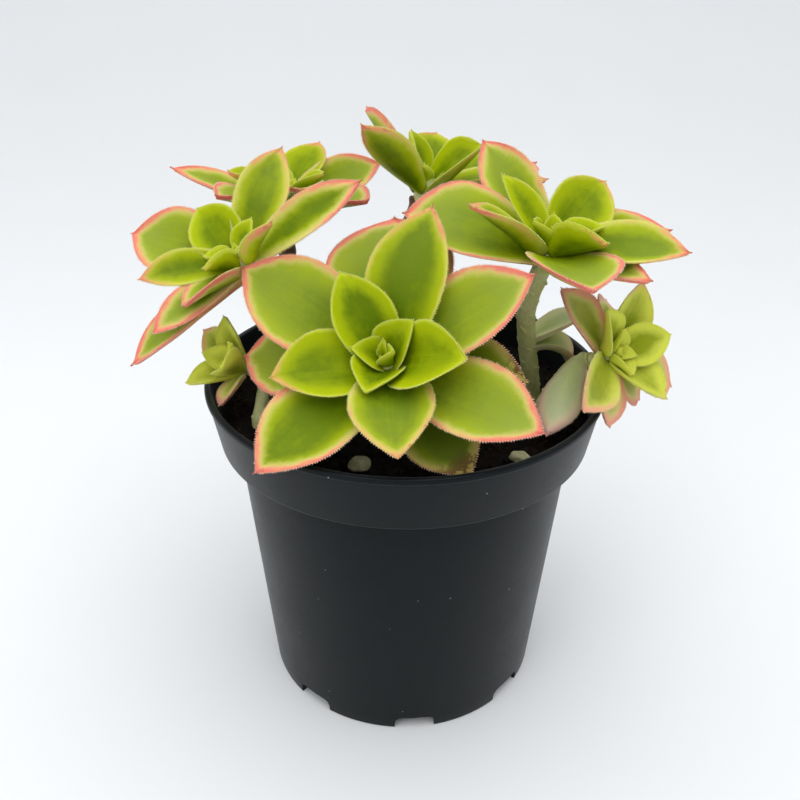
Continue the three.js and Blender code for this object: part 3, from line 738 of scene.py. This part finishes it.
def stone_finish():
    """Pale olive grit with darker pores."""
    stone = Finish("pale grit", Roughness=0.85, Specular_IOR_Level=0.3)
    patches = stone.mottling(2.2)
    pores = stone.mottling(0.5, 4.0).smooth(0.75, 1.0)
    colour = stone.blend(patches, (0.42, 0.40, 0.20, 1), (0.62, 0.60, 0.40, 1))
    stone.set("Base Color", stone.blend(pores * 0.7, colour, (0.14, 0.13, 0.05, 1)))
    stone.bump(stone.grain(0.4), 0.3)
    return stone.material


# The last colour given to each leaf finish is a painted sheen, blended in towards old leaves' tips
LEAF = leaf_finish(
    "variegated leaf", deep=(0.118, 0.190, 0.0002, 1), bright=(0.41, 0.49, 0.003, 1),
    pale=(0.80, 0.69, 0.26, 1), coral=(0.82, 0.175, 0.165, 1), painted_sheen=(0.34, 0.42, 0.06, 1),
    redness=0.0)
YOUNG_LEAF = leaf_finish(
    "young leaf", deep=(0.28, 0.34, 0.010, 1), bright=(0.66, 0.70, 0.09, 1),
    pale=(0.90, 0.80, 0.40, 1), coral=(0.88, 0.34, 0.29, 1), painted_sheen=(0.52, 0.50, 0.19, 1),
    redness=0.7)
OLD_LEAF = leaf_finish(
    "old leaf", deep=(0.43, 0.52, 0.20, 1), bright=(0.62, 0.68, 0.34, 1),
    pale=(0.80, 0.76, 0.52, 1), coral=(0.78, 0.48, 0.42, 1), painted_sheen=(0.60, 0.62, 0.40, 1),
    redness=-0.5)
TEETH = tooth_finish()
WOODY_BARK = bark_finish(
    "woody bark", (0.12, 0.055, 0.035, 1), (0.30, 0.17, 0.12, 1), (0.05, 0.025, 0.02, 1), 0.8)
GREEN_BARK = bark_finish(
    "green bark", (0.66, 0.73, 0.25, 1), (0.80, 0.84, 0.42, 1), (0.62, 0.52, 0.30, 1), 0.6)
BLACK_PLASTIC = pot_finish()
PEAT = soil_finish("damp peat", (0.003, 0.0022, 0.002, 1), (0.010, 0.006, 0.004, 1))
CRUMB = soil_finish("bark crumbs", (0.005, 0.0035, 0.0025, 1), (0.032, 0.018, 0.010, 1))
PALE_GRIT = stone_finish()


# Leaf heads

def between(values, number):
    """A value for one leaf, from a list that holds every fourth leaf's."""
    place = min(number / LIFT_STEP, len(values) - 1)
    low = min(math.floor(place), len(values) - 2)
    return values[low] + (values[low + 1] - values[low]) * (place - low)


def leaf_by_rule(head, number):
    """The sizes of one leaf of a head, from its number and from what the head says of it."""
    turn, lift, stretch = head["nudges"].get(number, (0, 0, 1))
    widen, roll = head.get("reshaped", {}).get(number, (1, 0))
    young = math.exp(-(number / YOUNG_UNTIL) ** 2)
    broad = math.exp(-(number / BROAD_UNTIL) ** 2)
    recurved = number / MOST_RECURVED * math.exp(1 - number / MOST_RECURVED)
    grown_share = 1 / (1 + math.exp((head["halfway"] - number) / GROWTH_SPREAD))
    length = stretch * head["length"] * grown_share
    return dict(
        turn=head["first"] + head["hand"] * GOLDEN_ANGLE * number + turn,
        lift=between(head["lifts"], number) + lift,
        curl=head["curl"] + head["recurve"] * recurved,
        length=length,
        width=widen * length * (OLD_WIDTH_SHARE + YOUNG_EXTRA_WIDTH * broad),
        base_share=OLD_BASE_SHARE + YOUNG_EXTRA_BASE * young,
        widest=OLD_WIDEST - YOUNG_WIDEST_SHIFT * young,
        tip_power=OLD_TIP_POWER - YOUNG_TIP_POWER_LOSS * young,
        cup=OLD_CUP + YOUNG_EXTRA_CUP * young,
        drop=LEAF_DROP * number,
        start=LEAF_START * min(1, number / LEAF_START_FROM),
        roll=roll,
        age=min(1, number / RIPE_FROM) + (WITHERING if number > LAST_FRESH_LEAF else 0),
        seed=(number * 0.618) % 1,
    )


def leaf_numbers(head):
    """The numbers of the leaves that a head still has."""
    numbers = [*range(head["leaves"]), *head.get("extra", ())]
    return [number for number in numbers if number not in head.get("lost", ())]


def core_depth(head):
    """How far a head's core reaches below its centre."""
    return LEAF_DROP * max(leaf_numbers(head)) + CORE_BELOW_LEAVES


def head_axis(head):
    """The way a head faces."""
    lean = head["lean"] * DEGREE
    toward = head["toward"] * DEGREE
    flat = math.sin(lean)
    return Vector((flat * math.cos(toward), flat * math.sin(toward), math.cos(lean)))


def leaf_points(name, leaves):
    """One point for each leaf, which carries the leaf's sizes as attributes."""
    mesh = bpy.data.meshes.new(name)
    mesh.from_pydata([(0, 0, 0)] * len(leaves), [], [])
    for key in leaves[0]:
        layer = mesh.attributes.new(key, "FLOAT", "POINT")
        unit = DEGREE if key in ("turn", "lift", "curl", "roll") else 1
        unit = MM if key in ("length", "width", "drop", "start") else unit
        layer.data.foreach_set("value", [leaf[key] * unit for leaf in leaves])
    return new_object(name, mesh)


def blade_place(tree, fields, rise):
    """Where a point of a leaf lies, its normal, and how far in from the margin it is.

    The point's along goes from the leaf's base to its tip, its across from -1 to 1 between the
    margins, and rise is 1 on the upper face, 0 at the rim and -1 on the lower face.
    """
    along, across = tree.named("along"), tree.named("across")
    turn, lift, curl, roll = (tree.named(name) for name in ("turn", "lift", "curl", "roll"))
    length, width, cup = (tree.named(name) for name in ("length", "width", "cup"))
    base_share, widest, tip_power = (
        tree.named(name) for name in ("base_share", "widest", "tip_power"))
    edge, core = fields["Edge thickness"] * MM, fields["Core thickness"] * MM

    # The line up the middle of the leaf, which is part of a circle
    slope = lift + curl * along
    bend = abs(curl).at_least(LEAST_CURL * DEGREE) * (curl.above(0) * 2 - 1)
    end = lift + bend * along
    radius = tree.named("start") + length * (end.sine() - lift.sine()) / bend
    height = length * (lift.cosine() - end.cosine()) / bend - tree.named("drop")

    # Half the leaf's width, and how far in from its margin the point is
    shoulder = ((along / widest).clamped() * (math.pi / 2)).sine() ** SHOULDER_POWER
    lower_part = base_share + (1 - base_share) * shoulder
    past = ((along - widest) / (1 - widest)).clamped()
    outline = lower_part.at_most(1 - past ** tip_power)
    body_half = width * 0.5 * outline
    fade = ((1 + POINT_LENGTH - along) / (1 + POINT_LENGTH - POINT_FROM)).at_most(1)
    half = body_half.at_least(fade.at_least(LEAST_POINT) * (POINT_HALF_WIDTH * MM))

    closing = past ** (tip_power - 1) * (width / length) * tip_power * 0.5 / (1 - widest)
    rim = (1 - abs(across)) * half / (closing * closing + 1).math("SQRT")

    # The thickness: a rounded rim, a fleshy keel below, and a soft wave in the whole blade
    thin = (half / (edge * FULL_EDGE_HALF)).at_most(1)
    half_edge = edge * 0.5 * thin
    full_core = core * (length / (FULL_CORE_LENGTH * MM)).at_most(1)
    keel = full_core * (1 - along * along).at_least(LEAST_KEEL) * thin
    below = rise.at_most(0)
    round_rim = abs(rise) ** RIM_ROUNDING * (rise.above(0) * 2 - 1)
    thickness = half_edge * (round_rim - 1) - keel * below * below
    wave_place = tree.xyz(
        along * WAVES_ALONG, across * WAVES_ACROSS, tree.named("seed") * 20)
    ripple = (tree.noise(wave_place, 1.0, 1.0) - 0.5) * length * WAVE_DEPTH * along

    # The point, and the leaf's normal, rolled about the middle line and turned about the axis
    sideways = half * across * (1 - cup * across * across * CUP_NARROWS)
    upward = half * cup * abs(across) ** CUP_POWER + thickness + ripple
    out = radius - (sideways * roll.sine() + upward * roll.cosine()) * slope.sine()
    level = sideways * roll.cosine() - upward * roll.sine()
    up = height + (sideways * roll.sine() + upward * roll.cosine()) * slope.cosine()
    normal = tree.xyz(
        slope.sine() * roll.cosine() * -1, roll.sine() * -1, slope.cosine() * roll.cosine())
    place, normal = (
        tree.turned(vector, (0, 0, 1), turn) for vector in (tree.xyz(out, level, up), normal))
    return place, normal, rim


def leaf_blades(tree, points, fields):
    """A closed, rounded blade on each leaf point."""
    tube = tree.field(
        "GeometryNodeMeshCylinder",
        {"Vertices": fields["Ring"], "Side Segments": fields["Rows"], "Radius": 1.0,
         "Depth": 1.0}, output="Mesh", fill_type="TRIANGLE_FAN")
    x, y, z = tree.split(tree.field("GeometryNodeInputPosition"))
    reach = z + 0.5
    along = (1 - (1 - reach).at_least(0) ** ROWS_TIPWARD) * (1 + POINT_LENGTH)
    for name, value in (("along", along), ("across", x), ("face", y)):
        tube = tree.stored(tube, name, value)
    blades = tree.copies(points, tube)
    place, _, rim = blade_place(tree, fields, tree.named("face"))
    blades = tree.stored(blades, "rim", rim / MM)
    return tree.coated(tree.moved(blades, Position=place), fields["Leaf finish"])


def margin_teeth(tree, points, fields):
    """Fine teeth along both margins of each leaf, leaning towards its tip."""
    step = (1 - TEETH_FROM) / (MARGIN_POINTS - 1)
    line = tree.field(
        "GeometryNodeMeshLine", {"Count": MARGIN_POINTS, "Start Location": (0, 0, TEETH_FROM),
                                 "Offset": (0, 0, step)}, output="Mesh")
    _, _, z = tree.split(tree.field("GeometryNodeInputPosition"))
    sides = [tree.stored(tree.stored(line, "along", z), "across", side) for side in (-1.0, 1.0)]
    margins = tree.copies(points, tree.joined(*sides))
    at_rim = tree.field("ShaderNodeValue")  # 0
    place, normal, _ = blade_place(tree, fields, at_rim)
    margins = tree.stored(margins, "blade_normal", normal, "FLOAT_VECTOR")
    curves = tree.field("GeometryNodeMeshToCurve", {"Mesh": tree.moved(margins, Position=place)})
    spots = tree.resampled(curves, fields["Tooth spacing"])
    tangent = tree.field("GeometryNodeInputTangent")
    outward = tree.named("blade_normal", "FLOAT_VECTOR").vector("CROSS_PRODUCT", tangent)
    leaning = outward.scaled(tree.named("across")).vector("ADD", tangent.scaled(TOOTH_LEAN))
    stray = tree.random((-TOOTH_STRAY,) * 3, (TOOTH_STRAY,) * 3, 3)
    rotation = tree.field(
        "FunctionNodeAlignRotationToVector", {"Vector": leaning.vector("ADD", stray)}, axis="Z")
    size = tree.random(*TOOTH_SIZES, 8) * (YOUNG_TOOTH + tree.named("age") * YOUNG_TOOTH)
    cone = tree.field(
        "GeometryNodeMeshCone",
        {"Vertices": 4, "Radius Top": 0.0, "Radius Bottom": TOOTH_RADIUS * MM,
         "Depth": fields["Tooth length"] * MM}, output="Mesh", fill_type="TRIANGLE_FAN")
    teeth = tree.copies(spots, cone, Rotation=rotation, Scale=tree.xyz(size, size, size))
    return tree.coated(teeth, TEETH)


def leaf_tree():
    """Leaves with teeth, one on each point of what the tree is given."""
    tree, fields = geometry_tree("toothed leaves", {
        "Ring": BLADE_RING, "Rows": BLADE_ROWS, "Edge thickness": LEAF_EDGE,
        "Core thickness": LEAF_CORE, "Tooth spacing": TOOTH_SPACING,
        "Tooth length": TOOTH_LENGTH, "Leaf finish": "NodeSocketMaterial"})
    points = tree.field("GeometryNodeMeshToPoints", {"Mesh": fields["Geometry"]})
    parts = leaf_blades(tree, points, fields), margin_teeth(tree, points, fields)
    return finish_tree(tree, tree.joined(*parts))


LEAVES = leaf_tree()


def leaf_head(name, head):
    """All the leaves of one head, where the head stands."""
    leaves = [leaf_by_rule(head, number) for number in leaf_numbers(head)]
    finish = YOUNG_LEAF if head["slot"] == "young_leaf" else LEAF
    piece = grown(f"{name}_leaves", leaf_points(name, leaves), LEAVES, {"Leaf finish": finish})
    turn = UP.rotation_difference(head_axis(head))
    piece.data.transform(
        Matrix.Translation(Vector(head["centre"]) * MM) @ turn.to_matrix().to_4x4())
    belongs(piece, head["slot"], name)


# Stems

def stem_line(name):
    """Points up a stem, from its hole in the soil to the underside of its head."""
    head, stem = HEADS[name], STEMS[name]
    axis = head_axis(head)
    top = Vector(head["centre"]) - axis * (core_depth(head) + SMALL_GAP)
    x, y = stem["foot"]
    reach = (top.z - SOIL_TOP) / 3
    heights = SOIL_TOP - HOLE_DEPTH + SMALL_GAP, SOIL_TOP - HOLE_DEPTH / 2, SOIL_TOP + STEM_RISE
    knots = [*(Vector((x, y, height)) for height in heights), top - axis * reach, top]
    return smooth_curve(knots, STEM_STEPS)


def smooth_curve(knots, steps):
    """Points on a smooth curve through the knots, which makes no loops between close ones."""
    ends = [knots[0] * 2 - knots[1], *knots, knots[-1] * 2 - knots[-2]]
    points = []
    for i in range(len(knots) - 1):
        a, b, c, d = ends[i:i + 4]
        times = [0.0]
        for first, second in ((a, b), (b, c), (c, d)):
            times.append(times[-1] + math.sqrt((second - first).length))
        for k in range(steps):
            t = times[1] + (times[2] - times[1]) * k / steps
            points.append(curve_point((a, b, c, d), times, t))
    points.append(knots[-1].copy())
    return points


def curve_point(knots, times, t):
    """A point between the two middle knots of four, from three rounds of blending."""
    level = list(knots)
    for span in (1, 2, 3):
        level = [
            level[i] * ((times[i + span] - t) / (times[i + span] - times[i]))
            + level[i + 1] * ((t - times[i]) / (times[i + span] - times[i]))
            for i in range(len(level) - 1)]
    return level[0]


def point_at(line, share):
    """The point at a share of the line's length."""
    lengths = [(b - a).length for a, b in zip(line, line[1:])]
    left = share * sum(lengths)
    for a, b, length in zip(line, line[1:], lengths):
        if left <= length:
            return a.lerp(b, left / length)
        left -= length
    return line[-1].copy()


def stem_tree():
    """A stem along a line of points, with the scars of its fallen leaves in a spiral."""
    tree, fields = geometry_tree("scarred stem", {
        "Radius": 3.0, "Sides": 20, "Step": 0.5, "Lump size": 3.2, "Swelling": 0.35,
        "Scar spacing": 1.3, "Scar place": 0.86, "Bark": "NodeSocketMaterial"})
    line = tree.field("GeometryNodeMeshToCurve", {"Mesh": fields["Geometry"]})
    curve = tree.resampled(line, fields["Step"])
    radius = fields["Radius"] * MM
    circle = tree.field(
        "GeometryNodeCurvePrimitiveCircle", {"Resolution": fields["Sides"], "Radius": radius},
        output="Curve")
    tube = tree.field(
        "GeometryNodeCurveToMesh", {"Curve": curve, "Profile Curve": circle, "Fill Caps": True})
    place = tree.field("GeometryNodeInputPosition")
    lumps = tree.noise(place, 1 / (fields["Lump size"] * MM), 3.0) - 0.5
    normal = tree.field("GeometryNodeInputNormal")
    tube = tree.moved(tube, Offset=normal.scaled(lumps * radius * fields["Swelling"]))

    spots = tree.resampled(curve, fields["Scar spacing"])
    index, tangent = tree.field("GeometryNodeInputIndex"), tree.field("GeometryNodeInputTangent")
    level = tree.turned((1, 0, 0), tangent, index * (GOLDEN_ANGLE * DEGREE))
    outward = level.vector("CROSS_PRODUCT", tangent).vector("NORMALIZE")
    spots = tree.moved(spots, Offset=outward.scaled(radius * fields["Scar place"]))
    scar = tree.field(
        "GeometryNodeMeshUVSphere", {"Segments": 10, "Rings": 6, "Radius": 1.0}, output="Mesh")
    turn = tree.field("FunctionNodeAlignRotationToVector", {"Vector": outward}, axis="Z")
    turn = tree.field(
        "FunctionNodeAlignRotationToVector", {"Rotation": turn, "Vector": tangent}, axis="Y",
        pivot_axis="Z")
    wide = tree.random(*SCAR_WIDTHS, 5) * radius
    scars = tree.copies(
        spots, scar, Rotation=turn, Scale=tree.xyz(wide, wide * SCAR_HEIGHT, wide * SCAR_BULGE))
    return finish_tree(tree, tree.coated(tree.joined(tube, scars), fields["Bark"]))


SCARRED_STEM = stem_tree()


def line_object(name, line):
    """The points of a line, each joined to the next."""
    mesh = bpy.data.meshes.new(name)
    steps = [(i, i + 1) for i in range(len(line) - 1)]
    mesh.from_pydata([point * MM for point in line], steps, [])
    return new_object(name, mesh)


def core_line(head):
    """Points up through the head's core, from its underside to just below its youngest leaves."""
    centre, axis, depth = Vector(head["centre"]), head_axis(head), core_depth(head)
    return [centre - axis * (depth * (1 - share)) for share in (0, 0.25, 0.5, 0.75, 1)]


def stem(name):
    """A stem up to its head, and on through the head's core."""
    head, values = HEADS[name], STEMS[name]
    bark, slot, swelling = GREEN_BARK, "green_stem", CORE_SWELLING
    if values["woody"]:
        bark, slot, swelling = WOODY_BARK, "woody_stem", WOODY_SWELLING
    piece = grown(
        f"{name}_stem", line_object(name, stem_line(name)), SCARRED_STEM,
        {"Radius": values["radius"], "Swelling": swelling, "Bark": bark})
    belongs(piece, slot, f"stem_{name}")
    share = min(1, head["length"] / FULL_CORE_HEAD)
    core = grown(
        f"{name}_core", line_object(name, core_line(head)), SCARRED_STEM,
        {"Radius": CORE_RADIUS * share, "Swelling": CORE_SWELLING, "Bark": GREEN_BARK})
    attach(core, "root")


def old_leaf(values):
    """An old leaf that still hangs on its stem."""
    name, stem_name, along = values["name"], values["stem"], values["along"]
    leaf = dict(
        values["leaf"], base_share=HANGING_BASE_SHARE, widest=OLD_WIDEST,
        tip_power=OLD_TIP_POWER, drop=0, start=0, age=1, seed=along)
    piece = grown(name, leaf_points(name, [leaf]), LEAVES, {"Leaf finish": OLD_LEAF})
    piece.data.transform(Matrix.Translation(point_at(stem_line(stem_name), along) * MM))
    belongs(piece, "leaf", f"stem_{stem_name}")


# Pot

def body_radius(height):
    """The outer radius of the pot's body at a height."""
    return BASE_RADIUS + (BODY_TOP_RADIUS - BASE_RADIUS) * height / COLLAR_FOOT


def inner_radius(height):
    """The radius inside the pot at a height."""
    if height > COLLAR_FOOT:
        share = (height - COLLAR_FOOT) / COLLAR_HEIGHT
        return COLLAR_FOOT_RADIUS + (WALL_TOP_RADIUS - COLLAR_FOOT_RADIUS) * share - WALL
    return body_radius(height) - WALL


def rounded(points, radius, steps=4):
    """The outline with each corner, apart from its ends, turned into a small arc.

    An arc takes up less than half of a side, so that the next corner's has room.
    """
    result = [points[0]]
    for before, corner, after in zip(points, points[1:], points[2:]):
        here = Vector(corner)
        back, on = Vector(before) - here, Vector(after) - here
        reach = min(radius, back.length * 0.45, on.length * 0.45)
        first = here + back.normalized() * reach
        last = here + on.normalized() * reach
        for i in range(steps + 1):
            t = i / steps
            result.append(tuple(first * (1 - t) ** 2 + here * (2 * t * (1 - t)) + last * t ** 2))
    result.append(points[-1])
    return result


def bridge(mesh, rings, segments, turned_over=False):
    """Faces from each ring of corners to the next, where a ring may be a single point."""
    for low, high in zip(rings, rings[1:]):
        for i in range(segments):
            first, *others = (low[i % len(low)], low[(i + 1) % len(low)],
                              high[(i + 1) % len(high)], high[i % len(high)])
            if turned_over:
                others.reverse()
            mesh.faces.new(list(dict.fromkeys([first, *others])))


def turned_mesh(name, profile, segments):
    """A closed mesh from a profile of (radius, height) points, turned about the vertical axis."""
    mesh = bmesh.new()
    angles = [2 * math.pi * i / segments for i in range(segments)]
    rings = []
    for radius, height in profile:
        rings.append([
            mesh.verts.new((radius * MM * math.cos(a), radius * MM * math.sin(a), height * MM))
            for a in (angles if radius > 0 else [0])])
    bridge(mesh, rings, segments)
    bmesh.ops.recalc_face_normals(mesh, faces=mesh.faces)
    return drafted(name, mesh)


def notch_cutters():
    """A round-cornered bar for each drainage notch in the foot of the pot."""
    half = NOTCH_WIDTH / 2
    outline = rounded([
        (0, -NOTCH_HEIGHT), (half, -NOTCH_HEIGHT), (half, NOTCH_HEIGHT), (-half, NOTCH_HEIGHT),
        (-half, -NOTCH_HEIGHT), (0, -NOTCH_HEIGHT)], NOTCH_CORNER)[:-1]
    mesh = bmesh.new()
    for i in range(NOTCH_COUNT):
        turn = Matrix.Rotation((NOTCH_FIRST_ANGLE + 360 * i / NOTCH_COUNT) * DEGREE, 3, "Z")
        ends = [
            [mesh.verts.new(turn @ Vector((reach, y, z)) * MM) for y, z in outline]
            for reach in (NOTCH_INNER_RADIUS, NOTCH_INNER_RADIUS + NOTCH_REACH)]
        for end in ends:
            mesh.faces.new(end)
        for k in range(len(outline)):
            after = (k + 1) % len(outline)
            mesh.faces.new([ends[0][k], ends[0][after], ends[1][after], ends[1][k]])
    bmesh.ops.recalc_face_normals(mesh, faces=mesh.faces)
    return linked("notches", drafted("notches", mesh))


def pot():
    """The pot: one moulded wall, a rolled lip, a collar, and notches cut in its foot."""
    # Rings just above the notches and just below the collar keep the wall's shading even.
    rings = [(body_radius(height), height)
             for height in (NOTCH_HEIGHT + 0.6, NOTCH_HEIGHT + 1.6, COLLAR_FOOT - 1.5)]
    ledge, lip_foot = COLLAR_FOOT + WALL, POT_HEIGHT - LIP_DEPTH
    profile = rounded([
        (0, 0), (BASE_RADIUS, 0), *rings, (BODY_TOP_RADIUS, COLLAR_FOOT),
        (COLLAR_FOOT_RADIUS, COLLAR_FOOT), (WALL_TOP_RADIUS, lip_foot),
        (RIM_RADIUS, lip_foot + LIP_SLOPE), (RIM_RADIUS, POT_HEIGHT),
        (WALL_TOP_RADIUS - WALL, POT_HEIGHT), (inner_radius(ledge), ledge),
        (inner_radius(COLLAR_FOOT - 1), COLLAR_FOOT - 1),
        (inner_radius(FLOOR_THICKNESS), FLOOR_THICKNESS), (0, FLOOR_THICKNESS)], EDGE_ROUNDING)
    piece = linked("nursery_pot", turned_mesh("nursery_pot", profile, POT_SEGMENTS))
    cutters = notch_cutters()
    cut = piece.modifiers.new("notches", "BOOLEAN")
    cut.object = cutters
    cut.solver = "EXACT"
    graph = bpy.context.evaluated_depsgraph_get()
    mesh = bpy.data.meshes.new_from_object(piece.evaluated_get(graph), depsgraph=graph)
    bpy.data.objects.remove(piece)
    bpy.data.objects.remove(cutters)
    piece = linked("nursery_pot", mesh)
    mesh.set_sharp_from_angle(angle=SHARP_ANGLE * DEGREE)
    mesh.materials.clear()
    mesh.materials.append(BLACK_PLASTIC)
    belongs(piece, "pot_plastic", "pot")


# Soil

def soil_height(radius, turn):
    """The height of the soil at a distance from the pot's axis, and at an angle round it."""
    waves = math.sin(5 * turn + 0.16 * radius) * math.cos(0.21 * radius - 2 * turn)
    swell = SOIL_SWELL * waves * min(1, radius / SOIL_LEVEL_RADIUS)
    return SOIL_TOP - SOIL_SETTLED + swell


def soil_surface():
    """The top of the soil, as an open disc."""
    edge = inner_radius(SOIL_TOP - 2) - SOIL_CLEARANCE
    mesh = bmesh.new()
    rings = [[mesh.verts.new((0, 0, soil_height(0, 0) * MM))]]
    for ring in range(1, SOIL_RINGS + 1):
        radius = edge * ring / SOIL_RINGS
        row = []
        for i in range(SOIL_SEGMENTS):
            turn = 2 * math.pi * i / SOIL_SEGMENTS
            x, y = radius * math.cos(turn), radius * math.sin(turn)
            rough = sum(
                height * noise.noise(Vector((x * often, y * often, seed)))
                for height, often, seed in SOIL_LUMPS)
            row.append(mesh.verts.new((x * MM, y * MM, (soil_height(radius, turn) + rough) * MM)))
        rings.append(row)
    bridge(mesh, rings, SOIL_SEGMENTS, turned_over=True)
    data = drafted("soil_surface", mesh)
    data.materials.append(PEAT)
    return linked("soil_surface", data)


def soil_tree():
    """The soil's surface with crumbs of bark and peat lying on it."""
    tree, fields = geometry_tree("soil with crumbs", {
        "Crumbs": 0.16, "Smallest": 0.35, "Largest": 1.25, "Dents": 0.9,
        "Crumb finish": "NodeSocketMaterial"})
    ground = fields["Geometry"]
    spots = tree.field(
        "GeometryNodeDistributePointsOnFaces",
        {"Mesh": ground, "Density": fields["Crumbs"] / (MM * MM), "Seed": 11}, output="Points")
    crumb = tree.field(
        "GeometryNodeMeshIcoSphere", {"Radius": 1.0, "Subdivisions": 2}, output="Mesh")
    place = tree.field("GeometryNodeInputPosition")
    dents = tree.noise(place, 1.3, 1.0, output="Color").vector("SUBTRACT", (0.5, 0.5, 0.5))
    crumb = tree.moved(crumb, Offset=dents.scaled(fields["Dents"]))
    spin = tree.random((0, 0, 0), (6.3, 6.3, 6.3), 2)
    share = tree.random(0.0, 1.0, 7) ** MOSTLY_SMALL
    size = (fields["Smallest"] + (fields["Largest"] - fields["Smallest"]) * share) * MM
    longer = tree.random(*CRUMB_LENGTHS, 4)
    crumbs = tree.copies(
        spots, crumb, Rotation=spin, Scale=tree.xyz(size * longer, size, size * CRUMB_HEIGHT))
    crumbs = tree.coated(crumbs, fields["Crumb finish"])
    return finish_tree(tree, tree.joined(ground, crumbs))


def soil():
    """The growing mix, which fills the pot to below its rim."""
    piece = grown("soil_bed", soil_surface(), soil_tree(), {"Crumb finish": CRUMB})
    belongs(piece, "growing_mix", "soil")


# Grit

def grit_stone(values, number):
    """One worn stone, in the place of its solid: a ball with shallow dents, wide and fine."""
    mesh = bmesh.new()
    bmesh.ops.create_icosphere(mesh, subdivisions=4, radius=0.5)
    length, width, height = values["size"]
    x, y = values["at"]
    base = soil_height(math.hypot(x, y), math.atan2(y, x)) + height / 2 + GRIT_LIFT
    turn = Matrix.Rotation(values["turn"] * DEGREE, 3, "Z")
    for vertex in mesh.verts:
        way = vertex.co.normalized()
        worn = 0.86 + 0.16 * noise.noise(way * 1.6 + Vector((number * 5, 0, 0)))
        worn += 0.05 * noise.noise(way * 5 + Vector((0, number * 3, 0)))
        sized = Vector((way.x * length, way.y * width, way.z * height)) * 0.5 * worn
        vertex.co = (turn @ sized + Vector((x, y, base))) * MM
    data = drafted(f"grit_stone_{number}", mesh)
    data.materials.append(PALE_GRIT)
    belongs(linked(f"grit_stone_{number}", data), "grit", f"grit_{number}")


# The stage, the lights and the camera

def stage():
    """A sheet of pale paper, under the pot and up behind it."""
    floor = Finish("pale paper", Roughness=0.9, Specular_IOR_Level=0.1)
    _, depth, _ = floor.split(floor.field("ShaderNodeTexCoord", output="Object"))
    # Painted shade: the paper is darkened close to the camera and far behind the pot, on top of
    # soft patches of its own tone
    mottling_and_painted_shade = floor.mottling(60.0) * 0.04
    for start, full, amount in (NEAR_SHADE, FAR_SHADE):
        mottling_and_painted_shade = mottling_and_painted_shade + depth.smooth(start, full) * amount
    floor.set("Base Color", floor.blend(mottling_and_painted_shade, (0.86, 0.87, 0.88, 1), (0.66, 0.67, 0.68, 1)))
    floor.bump(floor.grain(1.0), 0.02)
    outline = [(PAPER_FRONT, 0)]
    for i in range(CURVE_STEPS + 1):
        turn = math.pi / 2 * i / CURVE_STEPS
        outline.append((
            CURVE_START + CURVE_RADIUS * math.sin(turn), CURVE_RADIUS * (1 - math.cos(turn))))
    outline.append((CURVE_START + CURVE_RADIUS, PAPER_TOP))
    mesh = bpy.data.meshes.new("paper_sweep")
    verts = [(x, y, z) for y, z in outline for x in (-PAPER_HALF_WIDTH, PAPER_HALF_WIDTH)]
    faces = [(2 * i, 2 * i + 1, 2 * i + 3, 2 * i + 2) for i in range(len(outline) - 1)]
    mesh.from_pydata(verts, [], faces)
    mesh.materials.append(floor.material)
    linked("paper_sweep", mesh)


def area_light(name, place, target, side, power):
    """A square soft light that shines on a target."""
    light = bpy.data.lights.new(name, "AREA")
    light.shape = "SQUARE"
    light.size = side
    light.energy = power
    thing = new_object(name, light)
    thing.location = place
    thing.rotation_euler = (Vector(target) - Vector(place)).to_track_quat("-Z", "Y").to_euler()


def lights():
    """A soft studio: even light all round, a softbox overhead and a weak fill at the front left."""
    world = bpy.data.worlds.new("studio")
    bpy.context.scene.world = world
    world.use_nodes = True
    background = world.node_tree.nodes["Background"]
    background.inputs["Color"].default_value = STUDIO_COLOUR
    background.inputs["Strength"].default_value = STUDIO_LIGHT
    area_light("overhead softbox", **SOFTBOX)
    area_light("front left fill", **FILL)


def camera():
    """The camera, where the photograph was taken from."""
    pitch, yaw, roll = (value * DEGREE for value in (CAMERA_PITCH, CAMERA_YAW, CAMERA_ROLL))
    right = Vector((math.cos(yaw), -math.sin(yaw), 0))
    flat = Vector((math.sin(yaw), math.cos(yaw), 0))
    forward = flat * math.cos(pitch) - UP * math.sin(pitch)
    upward = flat * math.sin(pitch) + UP * math.cos(pitch)
    rolled_right = right * math.cos(roll) + upward * math.sin(roll)
    rolled_up = upward * math.cos(roll) - right * math.sin(roll)
    turn = Matrix((rolled_right, rolled_up, -forward)).transposed()
    data = bpy.data.cameras.new("photograph")
    data.lens = CAMERA_LENS
    data.sensor_width = CAMERA_SENSOR
    data.clip_start = 0.01
    thing = new_object("photograph", data)
    thing.matrix_world = Matrix.Translation(Vector(CAMERA_PLACE) * MM) @ turn.to_4x4()
    bpy.context.scene.camera = thing


camera()
lights()
stage()
pot()
soil()
for number, values in enumerate(GRIT, start=1):
    grit_stone(values, number)
for name in STEMS:
    stem(name)
for values in OLD_LEAVES:
    old_leaf(values)
for name, head in HEADS.items():
    leaf_head(name, head)
bpy.context.scene.view_settings.view_transform = "Standard"
